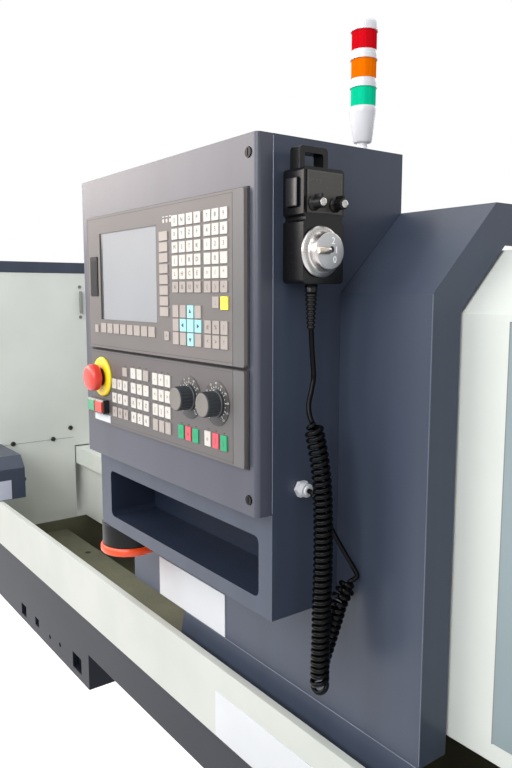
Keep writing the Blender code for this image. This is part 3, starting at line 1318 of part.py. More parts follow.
def gland():
    """Hexagonal cable gland with its clamping cap."""
    base = CONSOLE_RIGHT + SEAT
    corner = GLAND_FLATS / math.sqrt(3)
    angles = [math.radians(60 * side) for side in range(6)]
    hexagon = [(GLAND_Y + corner * math.cos(angle), GLAND_Z + corner * math.sin(angle)) for angle in angles]
    shape = prism(hexagon, "X", base, base + 0.006)
    cap = disc(GLAND_FLATS * 0.46, base + 0.004, base + GLAND_LENGTH - 0.002, "X", (0, GLAND_Y, GLAND_Z),
               20)
    tip = disc(GLAND_TIP, base + GLAND_LENGTH - 0.006, base + GLAND_LENGTH, "X", (0, GLAND_Y, GLAND_Z), 16,
               0.001)
    return finish("gland", join(shape, cap, tip), "white_plastic", "carriage", None, True)


def smooth_route(points, count):
    """Points of a smooth curve through hand-picked ones (Catmull-Rom with end tangents mirrored)."""
    knots = [Vector(p) for p in points]
    knots = [2 * knots[0] - knots[1]] + knots + [2 * knots[-1] - knots[-2]]
    route = []
    spans = len(knots) - 3
    for step in range(count + 1):
        place = min(step / count * spans, spans - 1e-6)
        index = int(place)
        t = place - index
        a, b, c, d = knots[index:index + 4]
        square = (2 * a - 5 * b + 4 * c - d) * t ** 2
        cube = (3 * b - a - 3 * c + d) * t ** 3
        route.append(0.5 * (2 * b + (c - a) * t + square + cube))
    return route


def tube(name, points, radius, count, colour, resolution):
    curve = bpy.data.curves.new(name, "CURVE")
    curve.dimensions = "3D"
    curve.bevel_depth = radius
    curve.bevel_resolution = resolution
    curve.use_fill_caps = True
    route = smooth_route(points, count)
    origin = route[0]
    spline = curve.splines.new("POLY")
    spline.points.add(len(route) - 1)
    for point, place in zip(spline.points, route):
        point.co = (*(place - origin), 1.0)
    curve.materials.append(material(colour))
    made = bpy.data.objects.new(name, curve)
    bpy.context.scene.collection.objects.link(made)
    made.parent = empties["carriage"]
    made.location = origin - world_origin("carriage")
    return made


# Middle of the curly cord: down one leg, round the bottom and up the other, which lies behind the first
COIL_ROUTE = (
    (0.6605, -0.5150, 1.1440), (0.6640, -0.5123, 1.1280), (0.6680, -0.5085, 1.1042),
    (0.6700, -0.5062, 1.0621), (0.6700, -0.5052, 0.9945), (0.6700, -0.5071, 0.9220),
    (0.6700, -0.5080, 0.8640), (0.6665, -0.5045, 0.8500), (0.6610, -0.4972, 0.8438),
    (0.6555, -0.4905, 0.8500), (0.6525, -0.4866, 0.8630), (0.6550, -0.4805, 0.8895),
    (0.6580, -0.4757, 0.9169), (0.6610, -0.4708, 0.9391), (0.6640, -0.4570, 0.9637),
)
# Lead from the strain relief into the curly cord, and from the curly cord up to the gland
LEAD_ROUTE = (
    (0.6500, -0.5095, 1.2775), (0.6500, -0.5093, 1.2650), (0.6500, -0.5075, 1.2350),
    (0.6500, -0.5047, 1.2033), (0.6507, -0.5082, 1.1840), (0.6525, -0.5135, 1.1680),
    (0.6560, -0.5158, 1.1550), (0.6602, -0.5154, 1.1446),
)
TAIL_ROUTE = (
    (0.6641, -0.4566, 0.9644), (0.6640, -0.4530, 0.9700), (0.6622, -0.4514, 0.9775),
    (0.6590, -0.4603, 0.9941), (0.6560, -0.4708, 1.0127), (0.6540, -0.4820, 1.0327),
    (0.6525, -0.4930, 1.0510), (0.6515, -0.4985, 1.0615), (0.6490, -0.5018, 1.0690),
    (0.6455, -0.5028, 1.0724), (0.6416, -0.5030, 1.0730),
)


def cords():
    tube("cord_coil", COIL_ROUTE, COIL_RADIUS, 32, "rubber", 2)
    tube("cord_lead", LEAD_ROUTE, CORD_RADIUS, 18, "rubber", 1)
    tube("cord_tail", TAIL_ROUTE, CORD_RADIUS, 20, "rubber", 1)


def signal_tower():
    z = CONSOLE_TOP + SEAT
    centre = (LAMP_X, LAMP_Y, 0)
    base_top = z + LAMP_TUBE_HEIGHT + LAMP_BASE_HEIGHT
    profile = [(0.0, z), (LAMP_TUBE_RADIUS + 0.004, z), (LAMP_TUBE_RADIUS + 0.004, z + 0.002),
               (LAMP_TUBE_RADIUS, z + 0.003), (LAMP_TUBE_RADIUS, z + LAMP_TUBE_HEIGHT),
               (LAMP_TUBE_RADIUS + 0.002, z + LAMP_TUBE_HEIGHT),
               (LAMP_COLLAR_RADIUS - 0.001, base_top - 0.010),
               (LAMP_COLLAR_RADIUS, base_top - 0.006), (LAMP_COLLAR_RADIUS, base_top), (0.0, base_top)]
    finish("lamp_base", turned(profile, "Z", centre, 20), "white_plastic", "carriage", None, True)
    level = base_top
    for name, colour in (("lamp_green", "lens_green"), ("lamp_amber", "lens_amber"),
                         ("lamp_red", "lens_red")):
        level += SEAT
        lens_top = level + LAMP_LENS_HEIGHT
        collar_top = lens_top + (LAMP_CAP_HEIGHT if name == "lamp_red" else LAMP_COLLAR_HEIGHT)
        crown = LAMP_COLLAR_RADIUS * 0.85 if name == "lamp_red" else LAMP_COLLAR_RADIUS - 0.0008
        profile = [(0.0, level), (LAMP_LENS_RADIUS, level), (LAMP_LENS_RADIUS, lens_top),
                   (LAMP_COLLAR_RADIUS, lens_top),
                   (LAMP_COLLAR_RADIUS, (lens_top + collar_top) / 2), (crown, collar_top),
                   (0.0, collar_top)]
        finish(name, turned(profile, "Z", centre, 20), colour, "carriage", None, True)
        level = collar_top


def work_lamp():
    """Round housing with a coloured rim that hangs under the console's left corner."""
    top = CONSOLE_BOTTOM - SEAT
    centre = (WORK_LAMP_X, WORK_LAMP_Y, 0)
    low = top - WORK_LAMP_HEIGHT
    shoulder = low + 2 * WORK_LAMP_RIM
    profile = [(0.0, top), (WORK_LAMP_RADIUS, top), (WORK_LAMP_RADIUS, shoulder),
               (WORK_LAMP_FLANGE, low + WORK_LAMP_RIM), (WORK_LAMP_FLANGE, low),
               (WORK_LAMP_RADIUS, low), (WORK_LAMP_RADIUS - EDGE, low + EDGE), (0.0, low + EDGE)]
    finish("work_lamp", turned(profile, "Z", centre, 28), "black_plastic", "carriage", None, True)


def cross_slide():
    base = WAY_TOP + SEAT + SADDLE_THICKNESS
    bottom = base + SEAT
    top = base + DOVETAIL_HEIGHT + SLIDE_THICKNESS
    x = (SLIDE_CENTRE - SLIDE_HALF_WIDTH, SLIDE_CENTRE + SLIDE_HALF_WIDTH)
    shape = box(x, (SLIDE_FRONT, SLIDE_REAR), (bottom, top), EDGE)
    gap = SEAT * 1.5
    groove = [(SLIDE_CENTRE - DOVETAIL_TOP_HALF + DOVETAIL_FLARE - gap, bottom - EDGE),
              (SLIDE_CENTRE + DOVETAIL_TOP_HALF - DOVETAIL_FLARE + gap, bottom - EDGE),
              (SLIDE_CENTRE + DOVETAIL_TOP_HALF + gap, base + DOVETAIL_HEIGHT + SEAT),
              (SLIDE_CENTRE - DOVETAIL_TOP_HALF - gap, base + DOVETAIL_HEIGHT + SEAT)]
    slots = [box((cx - TEE_HALF, cx + TEE_HALF), (SLIDE_FRONT - EDGE, SLIDE_REAR + EDGE),
                 (top - TEE_DEPTH, top + EDGE))
             for cx in (SLIDE_CENTRE - TEE_OFFSET, SLIDE_CENTRE + TEE_OFFSET)]
    shape = cut(shape, prism(groove, "Y", SLIDE_FRONT - EDGE, SLIDE_REAR + EDGE), *slots)
    post = disc(POST_BASE_RADIUS, top - EDGE, top + SEAT + POST_BASE_HEIGHT, "Z",
                (SLIDE_CENTRE, POST_CENTRE_Y, 0), 36, EDGE / 2)
    return finish("cross_slide", join(shape, post), "ground_steel", "slide_way")


def slide_top():
    return WAY_TOP + SEAT + SADDLE_THICKNESS + DOVETAIL_HEIGHT + SLIDE_THICKNESS


def toolpost_head():
    """Indexing four-station head: tool slots on all sides, one tool in the working slot, a clamp cap."""
    z = slide_top() + 2 * SEAT + POST_BASE_HEIGHT
    y = (POST_CENTRE_Y - POST_HALF, POST_CENTRE_Y + POST_HALF)
    x = (SLIDE_CENTRE - POST_HALF, SLIDE_CENTRE + POST_HALF)
    shape = box(x, y, (z, z + POST_HEIGHT), 0.003)
    slot_z = (z + TOOL_SLOT_RISE, z + TOOL_SLOT_RISE + TOOL_SLOT_HEIGHT)
    depth = TOOL_SLOT_DEPTH
    between = (y[0] + depth + TOOL_SLOT_GAP, y[1] - depth - TOOL_SLOT_GAP)
    slots = [box((x[0] - EDGE, x[1] + EDGE), (y[0] - EDGE, y[0] + depth), slot_z),
             box((x[0] - EDGE, x[1] + EDGE), (y[1] - depth, y[1] + EDGE), slot_z),
             box((x[0] - EDGE, x[0] + depth), between, slot_z),
             box((x[1] - depth, x[1] + EDGE), between, slot_z)]
    shape = cut(shape, *slots)
    cap = disc(CLAMP_RADIUS, z + POST_HEIGHT - EDGE, z + POST_HEIGHT + CLAMP_HEIGHT, "Z",
               (SLIDE_CENTRE, POST_CENTRE_Y, 0), 24, EDGE)
    tool = box((x[0] - TOOL_REACH, x[1] - 0.01), (y[1] - TOOL_SHANK, y[1]),
               (slot_z[0] - EDGE, slot_z[0] + TOOL_SHANK - EDGE))
    return finish("toolpost_head", join(shape, cap, tool), "ground_steel", "toolpost_axis",
                  (SLIDE_CENTRE, POST_CENTRE_Y, z))


def tailstock_body():
    """Tailstock casting: base on the ways, a waisted neck and a bored barrel."""
    bottom = WAY_TOP + SEAT
    top = bottom + TAIL_BASE_HEIGHT
    base = box((TAIL_LEFT, TAIL_RIGHT), (BED_FRONT + TAIL_BASE_INSET, BED_REAR - TAIL_BASE_INSET),
               (bottom, top), 0.004)
    half = BARREL_RADIUS - 2 * EDGE
    neck = [(SPINDLE_Y - NECK_FOOT_HALF, top - EDGE), (SPINDLE_Y + NECK_FOOT_HALF, top - EDGE),
            (SPINDLE_Y + TAIL_NECK_HALF, top + NECK_RISE), (SPINDLE_Y + half, SPINDLE_Z),
            (SPINDLE_Y - half, SPINDLE_Z), (SPINDLE_Y - TAIL_NECK_HALF, top + NECK_RISE)]
    shape = join(base, prism(neck, "X", TAIL_LEFT + NECK_MARGIN, TAIL_RIGHT - NECK_MARGIN))
    axis = (0, SPINDLE_Y, SPINDLE_Z)
    barrel = disc(BARREL_RADIUS, BARREL_LEFT, BARREL_RIGHT, "X", axis, ROUND_STEPS, 0.004)
    bore = disc(QUILL_RADIUS + QUILL_CLEARANCE, BARREL_LEFT - EDGE, QUILL_BORE_END, "X", axis)
    boss = disc(LEVER_BOSS_RADIUS, SPINDLE_Z, SPINDLE_Z + BARREL_RADIUS + LEVER_BOSS_RISE, "Z",
                (LEVER_X, SPINDLE_Y, 0), SMALL_STEPS)
    return finish("tailstock_body", cut(join(shape, barrel, boss), bore), "cast_paint", "tailstock")


def quill():
    tip = QUILL_LEFT - CENTRE_LENGTH
    cone = [(0.0, tip), (CENTRE_RADIUS, tip + CENTRE_CONE), (CENTRE_RADIUS, QUILL_LEFT),
            (QUILL_RADIUS - SHEET, QUILL_LEFT), (QUILL_RADIUS, QUILL_LEFT + SHEET),
            (QUILL_RADIUS, QUILL_RIGHT), (0.0, QUILL_RIGHT)]
    shape = turned(cone, "X", (0, SPINDLE_Y, SPINDLE_Z), ROUND_STEPS)
    return finish("quill", shape, "ground_steel", "quill_axis", (QUILL_RIGHT, SPINDLE_Y, SPINDLE_Z), True)


def tail_wheel():
    """Spoked hand wheel with a turned grip on its rim."""
    base = BARREL_RIGHT + SEAT
    centre = (0, SPINDLE_Y, SPINDLE_Z)
    hub = disc(WHEEL_HUB, base, base + WHEEL_THICKNESS, "X", centre, 24, EDGE)
    rim_x = base + RIM_SETBACK
    ring_radius = WHEEL_RADIUS - WHEEL_RIM
    profile = []
    for step in range(RIM_STEPS + 1):
        angle = math.tau * (step % RIM_STEPS) / RIM_STEPS
        profile.append((ring_radius + WHEEL_RIM * math.cos(angle), rim_x + WHEEL_RIM * math.sin(angle)))
    rim = turned(profile, "X", centre, 24)
    thin, wide = SPOKE_HALF
    spokes = []
    for index in range(3):
        spoke = box((rim_x - thin, rim_x + thin), (-wide, wide), (WHEEL_HUB - thin, ring_radius))
        spokes.append(turn_about_spindle(spoke, index))
    grip = disc(GRIP_RADIUS, rim_x, rim_x + GRIP_LENGTH, "X", (0, SPINDLE_Y, SPINDLE_Z - ring_radius), 16,
                0.003)
    shape = join(rim, gather([hub]), *spokes, grip)
    return finish("tail_wheel", shape, "ground_steel", "tail_wheel_axis", (base, SPINDLE_Y, SPINDLE_Z),
                  True)


def tail_lever():
    """Clamp lever on the barrel: a hub, a raked arm and a ball."""
    base = SPINDLE_Z + BARREL_RADIUS + LEVER_BOSS_RISE + SEAT
    hub = disc(LEVER_HUB_RADIUS, base, base + LEVER_HUB_HEIGHT, "Z", (LEVER_X, SPINDLE_Y, 0), SMALL_STEPS,
               EDGE)
    end_y = SPINDLE_Y - LEVER_LENGTH
    ball_z = base + LEVER_BALL_RISE
    arm = prism([(SPINDLE_Y, base + 0.006), (SPINDLE_Y, base + 0.016), (end_y, ball_z + 0.004),
                 (end_y, ball_z - 0.004)],
                "X", LEVER_X - LEVER_HALF, LEVER_X + LEVER_HALF)
    arc = [(LEVER_BALL * math.sin(math.pi * i / 8), -LEVER_BALL * math.cos(math.pi * i / 8))
           for i in range(9)]
    ball = turned(arc, "Z", (LEVER_X, end_y, ball_z), 16)
    shape = join(hub, arm, ball)
    return finish("tail_lever", shape, "black_plastic", "tail_lever_axis", (LEVER_X, SPINDLE_Y, base), True)


def build():
    for old in list(bpy.data.objects):
        bpy.data.objects.remove(old, do_unlink=True)
    carrier("machine")
    carrier("spindle", (NOSE_END, SPINDLE_Y, SPINDLE_Z), "machine")
    carrier("carriage", (SLIDE_CENTRE, 0, WAY_TOP), "machine")
    carrier("slide_way", (SLIDE_CENTRE, 0, WAY_TOP), "carriage")
    carrier("toolpost_axis", (SLIDE_CENTRE, POST_CENTRE_Y, slide_top()), "slide_way")
    carrier("door_hinge", (CONSOLE_LEFT, CONSOLE_FRONT, CONSOLE_TOP), "carriage")
    carrier("crank_axis", (pendant_face(), PENDANT_WHEEL_Y, PENDANT_WHEEL_Z), "carriage")
    carrier("tailstock", (TAIL_LEFT, SPINDLE_Y, WAY_TOP), "machine")
    carrier("quill_axis", (QUILL_RIGHT, SPINDLE_Y, SPINDLE_Z), "tailstock")
    carrier("tail_wheel_axis", (BARREL_RIGHT, SPINDLE_Y, SPINDLE_Z), "tailstock")
    carrier("tail_lever_axis", (LEVER_X, SPINDLE_Y, SPINDLE_Z), "tailstock")
    leg("leg_left", LEFT_LEG)
    leg("leg_right", RIGHT_LEG)
    for make in (chip_pan, bed, front_rail, front_panel, headstock, headstock_cover, headstock_roof,
                 left_guard, tail_guard, rear_guard, rear_cabinet):
        make()
    middle = (BED_FRONT + BED_REAR) / 2
    motor("z_motor", "machine", "X", (0, middle, TROUGH_FLOOR + 0.07), BED_RIGHT + SEAT, 1)
    chuck_body()
    for index in range(3):
        jaw(index)
    for make in (saddle, apron, guard_bracket, guard_cover, console_box, pendant_holder, pendant_body,
                 pendant_wheel, enable_button, pendant_relief, gland, cords, signal_tower, work_lamp):
        make()
    selector("selector_left", SELECTOR_Y[0])
    selector("selector_right", SELECTOR_Y[1])
    for make in (console_door, display_panel, screen, usb_flap, machine_panel, estop_collar, estop_button,
                 button_block):
        make()
    for name, z in zip(("lock_upper", "lock_lower"), LOCK_HEIGHTS):
        door_lock(name, z)
    for name, x in zip(("knob_left", "knob_right"), KNOB_X):
        knob(name, x)
    start_span, stop_span = button_centres()
    push_button("start_button", start_span, "green_plastic")
    push_button("stop_button", stop_span, "red_plastic")
    cross_slide()
    toolpost_head()
    motor("x_motor", "carriage", "Y", (SLIDE_CENTRE, 0, WAY_TOP + SEAT + SADDLE_THICKNESS / 2),
          SADDLE_REAR + SEAT, 1)
    for make in (tailstock_body, quill, tail_wheel, tail_lever):
        make()


build()
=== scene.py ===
# Turning lathe with a control console on its sliding guard: the looks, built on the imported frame
import json
import math

import bpy
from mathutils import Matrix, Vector

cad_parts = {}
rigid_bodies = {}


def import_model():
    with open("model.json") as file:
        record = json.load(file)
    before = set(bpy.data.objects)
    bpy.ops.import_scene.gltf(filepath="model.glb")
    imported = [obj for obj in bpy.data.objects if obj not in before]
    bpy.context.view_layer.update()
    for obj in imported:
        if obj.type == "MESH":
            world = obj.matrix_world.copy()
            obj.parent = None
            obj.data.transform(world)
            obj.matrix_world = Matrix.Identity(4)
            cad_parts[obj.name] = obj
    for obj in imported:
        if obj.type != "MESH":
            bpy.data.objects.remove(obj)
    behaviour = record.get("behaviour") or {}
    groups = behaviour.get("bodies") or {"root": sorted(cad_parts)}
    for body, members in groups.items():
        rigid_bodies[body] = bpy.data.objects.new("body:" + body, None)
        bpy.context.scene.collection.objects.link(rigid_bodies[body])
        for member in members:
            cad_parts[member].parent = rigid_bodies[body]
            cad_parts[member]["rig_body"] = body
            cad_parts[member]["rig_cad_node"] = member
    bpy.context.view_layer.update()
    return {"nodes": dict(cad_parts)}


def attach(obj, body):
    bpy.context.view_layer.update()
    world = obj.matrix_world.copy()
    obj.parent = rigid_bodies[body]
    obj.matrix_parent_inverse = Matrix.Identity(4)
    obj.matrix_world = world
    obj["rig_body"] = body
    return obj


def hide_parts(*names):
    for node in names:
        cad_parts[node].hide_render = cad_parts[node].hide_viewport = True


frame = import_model()
nodes = frame["nodes"]
for node in nodes.values():
    node.data.materials.clear()
print("frame loaded:", len(nodes), "nodes")


# selecting and placing

def deselectAll():
    if bpy.context.object and bpy.context.object.mode != "OBJECT":
        bpy.ops.object.mode_set(mode="OBJECT")
    bpy.ops.object.select_all(action="DESELECT")


def pickOnly(piece):
    deselectAll()
    piece.select_set(True)
    bpy.context.view_layer.objects.active = piece


def settle(piece, name):  # the place, turn and size go into the mesh
    piece.name = name
    piece.data.name = name
    pickOnly(piece)
    bpy.ops.object.transform_apply(location=True, rotation=True, scale=True)
    return piece


def pickFaces(piece, wanted):  # faces chosen by their place or normal, left in edit mode
    pickOnly(piece)
    bpy.ops.object.mode_set(mode="EDIT")
    bpy.ops.mesh.select_mode(type="FACE")
    bpy.ops.mesh.select_all(action="DESELECT")
    bpy.ops.object.mode_set(mode="OBJECT")
    for face in piece.data.polygons:
        face.select = wanted(face)
    bpy.ops.object.mode_set(mode="EDIT")


def leaveEdit():
    bpy.ops.object.mode_set(mode="OBJECT")


def easeEdges(piece, width, segments=2, angle=32):
    pickOnly(piece)
    bpy.ops.object.modifier_add(type="BEVEL")
    bevel = piece.modifiers[-1]
    bevel.width = width
    bevel.segments = segments
    bevel.limit_method = "ANGLE"
    bevel.angle_limit = math.radians(angle)
    bpy.ops.object.modifier_apply(modifier=bevel.name)
    bpy.ops.object.shade_smooth_by_angle(angle=math.radians(38))
    bpy.ops.object.modifier_add(type="WEIGHTED_NORMAL")
    piece.modifiers[-1].keep_sharp = True
    bpy.ops.object.modifier_apply(modifier=piece.modifiers[-1].name)
    return piece


def boxFrom(name, low, high, ease=0.0, segments=2):
    deselectAll()
    middle = [(a + b) / 2 for a, b in zip(low, high)]
    bpy.ops.mesh.primitive_cube_add(size=1, location=middle, scale=[abs(b - a) for a, b in zip(low, high)])
    piece = settle(bpy.context.object, name)
    if ease:
        easeEdges(piece, ease, segments)
    return piece


turns = {"X": (0, math.pi / 2, 0), "-X": (0, -math.pi / 2, 0), "Y": (-math.pi / 2, 0, 0), "-Y": (math.pi / 2, 0, 0),
        "Z": (0, 0, 0), "-Z": (math.pi, 0, 0)}


def turnedFrom(name, profile, centre, towards="Z", steps=48, ease=0.0):  # radius and height, drawn up ring by ring
    deselectAll()
    bpy.ops.mesh.primitive_circle_add(vertices=steps, radius=profile[0][0], fill_type="NGON")
    piece = bpy.context.object
    bpy.ops.object.mode_set(mode="EDIT")
    bpy.ops.mesh.select_all(action="SELECT")
    bpy.ops.transform.translate(value=(0, 0, profile[0][1]))
    for before, here in zip(profile, profile[1:]):
        bpy.ops.mesh.extrude_region_move(TRANSFORM_OT_translate={"value": (0, 0, here[1] - before[1])})
        size = here[0] / before[0]
        bpy.ops.transform.resize(value=(size, size, 1), center_override=(0, 0, here[1]))
    bpy.ops.mesh.select_all(action="SELECT")
    bpy.ops.mesh.normals_make_consistent(inside=False)
    leaveEdit()
    piece.rotation_euler = turns[towards]
    piece.location = centre
    settle(piece, name)
    if ease:
        easeEdges(piece, ease, 3)
    else:
        bpy.ops.object.shade_smooth_by_angle(angle=math.radians(38))
    return piece


def copyTo(source, name, shift):
    pickOnly(source)
    bpy.ops.object.duplicate(linked=False)
    copy = bpy.context.object
    copy.location = shift
    return settle(copy, name)


def joinAll(name, pieces):
    deselectAll()
    for piece in pieces:
        piece.select_set(True)
    bpy.context.view_layer.objects.active = pieces[0]
    if len(pieces) > 1:
        bpy.ops.object.join()
    joined = bpy.context.object
    joined.name = name
    joined.data.name = name
    return joined


def wordFrom(name, words, height, place, facing="-Y"):
    deselectAll()
    bpy.ops.object.text_add(location=(0, 0, 0))
    word = bpy.context.object
    word.data.body = words
    word.data.size = height
    word.data.align_x = "CENTER"
    word.data.align_y = "CENTER"
    word.data.resolution_u = 2
    pickOnly(word)
    bpy.ops.object.convert(target="MESH")
    word = bpy.context.object
    word.rotation_euler = {"-Y": (math.pi / 2, 0, 0), "X": (math.pi / 2, 0, math.pi / 2)}[facing]
    word.location = place
    return settle(word, name)


def easedCopy(nodeName, name, width, segments=2):  # a CAD solid's own shape with its edges eased
    pickOnly(nodes[nodeName])
    bpy.ops.object.duplicate(linked=False)
    piece = bpy.context.object
    piece.parent = None
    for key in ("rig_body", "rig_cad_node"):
        if key in piece:
            del piece[key]
    settle(piece, name)
    bpy.ops.object.mode_set(mode="EDIT")
    bpy.ops.mesh.select_all(action="SELECT")
    bpy.ops.mesh.remove_doubles(threshold=0.00001)
    bpy.ops.mesh.customdata_custom_splitnormals_clear()
    bpy.ops.mesh.dissolve_limited(angle_limit=math.radians(0.5))
    leaveEdit()
    easeEdges(piece, width, segments)
    return piece


def dress(piece, finish, body, replaces=()):
    piece.data.materials.clear()
    piece.data.materials.append(finish)
    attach(piece, body)
    if replaces:
        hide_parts(*replaces)
    return piece


# finishes

def tone(red, green, blue):  # a screen colour as Blender's linear one
    return tuple(((c / 255 + 0.055) / 1.055) ** 2.4 if c > 10 else c / 255 / 12.92
            for c in (red, green, blue)) + (1.0,)


def noiseFrom(tree, scale, stretch=(1, 1, 1), detail=3.0):
    place = tree.nodes.new("ShaderNodeTexCoord")
    mapping = tree.nodes.new("ShaderNodeMapping")
    mapping.inputs["Scale"].default_value = stretch
    noise = tree.nodes.new("ShaderNodeTexNoise")
    noise.inputs["Scale"].default_value = scale
    noise.inputs["Detail"].default_value = detail
    tree.links.new(place.outputs["Object"], mapping.inputs["Vector"])
    tree.links.new(mapping.outputs["Vector"], noise.inputs["Vector"])
    return noise.outputs["Fac"]


def ringsFrom(tree, centre, direction, scale):
    place = tree.nodes.new("ShaderNodeTexCoord")
    mapping = tree.nodes.new("ShaderNodeMapping")
    mapping.inputs["Location"].default_value = [-value for value in centre]
    wave = tree.nodes.new("ShaderNodeTexWave")
    wave.wave_type = "RINGS"
    wave.rings_direction = direction
    wave.inputs["Scale"].default_value = scale
    wave.inputs["Distortion"].default_value = 1.5
    wave.inputs["Detail"].default_value = 2.0
    tree.links.new(place.outputs["Object"], mapping.inputs["Vector"])
    tree.links.new(mapping.outputs["Vector"], wave.inputs["Vector"])
    return wave.outputs["Fac"]


def finishFrom(name, values):
    finish = bpy.data.materials.new(name)
    finish.use_nodes = True
    tree = finish.node_tree
    shader = tree.nodes["Principled BSDF"]
    clouds = noiseFrom(tree, values.get("cloudSize", 6.0), values.get("cloudStretch", (1, 1, 1)))
    ramp = tree.nodes.new("ShaderNodeValToRGB")
    ramp.color_ramp.elements[0].position = 0.32
    ramp.color_ramp.elements[1].position = 0.68
    ramp.color_ramp.elements[0].color = tone(*values["dark"])
    ramp.color_ramp.elements[1].color = tone(*values["light"])
    tree.links.new(clouds, ramp.inputs["Fac"])
    tree.links.new(ramp.outputs["Color"], shader.inputs["Base Color"])
    if "rings" in values:
        fine = ringsFrom(tree, *values["rings"])
    else:
        fine = noiseFrom(tree, values.get("grainSize", 600.0), values.get("grainStretch", (1, 1, 1)), 2.0)
    remap = tree.nodes.new("ShaderNodeMapRange")
    remap.inputs["From Min"].default_value = 0.3
    remap.inputs["From Max"].default_value = 0.7
    remap.inputs["To Min"].default_value = values["rough"][0]
    remap.inputs["To Max"].default_value = values["rough"][1]
    tree.links.new(fine, remap.inputs["Value"])
    tree.links.new(remap.outputs["Result"], shader.inputs["Roughness"])
    bump = tree.nodes.new("ShaderNodeBump")
    bump.inputs["Strength"].default_value = values.get("bump", 0.05)
    bump.inputs["Distance"].default_value = values.get("depth", 0.0003)
    tree.links.new(fine, bump.inputs["Height"])
    tree.links.new(bump.outputs["Normal"], shader.inputs["Normal"])
    shader.inputs["Metallic"].default_value = values.get("metal", 0.0)
    shader.inputs["Coat Weight"].default_value = values.get("coat", 0.0)
    shader.inputs["Coat Roughness"].default_value = values.get("coatRough", 0.15)
    shader.inputs["Specular IOR Level"].default_value = values.get("shine", 0.5)
    return finish


def look(dark, light, rough, **more):  # a finish clouds between two colours; more is what isn't plain
    return {"dark": dark, "light": light, "rough": rough, **more}


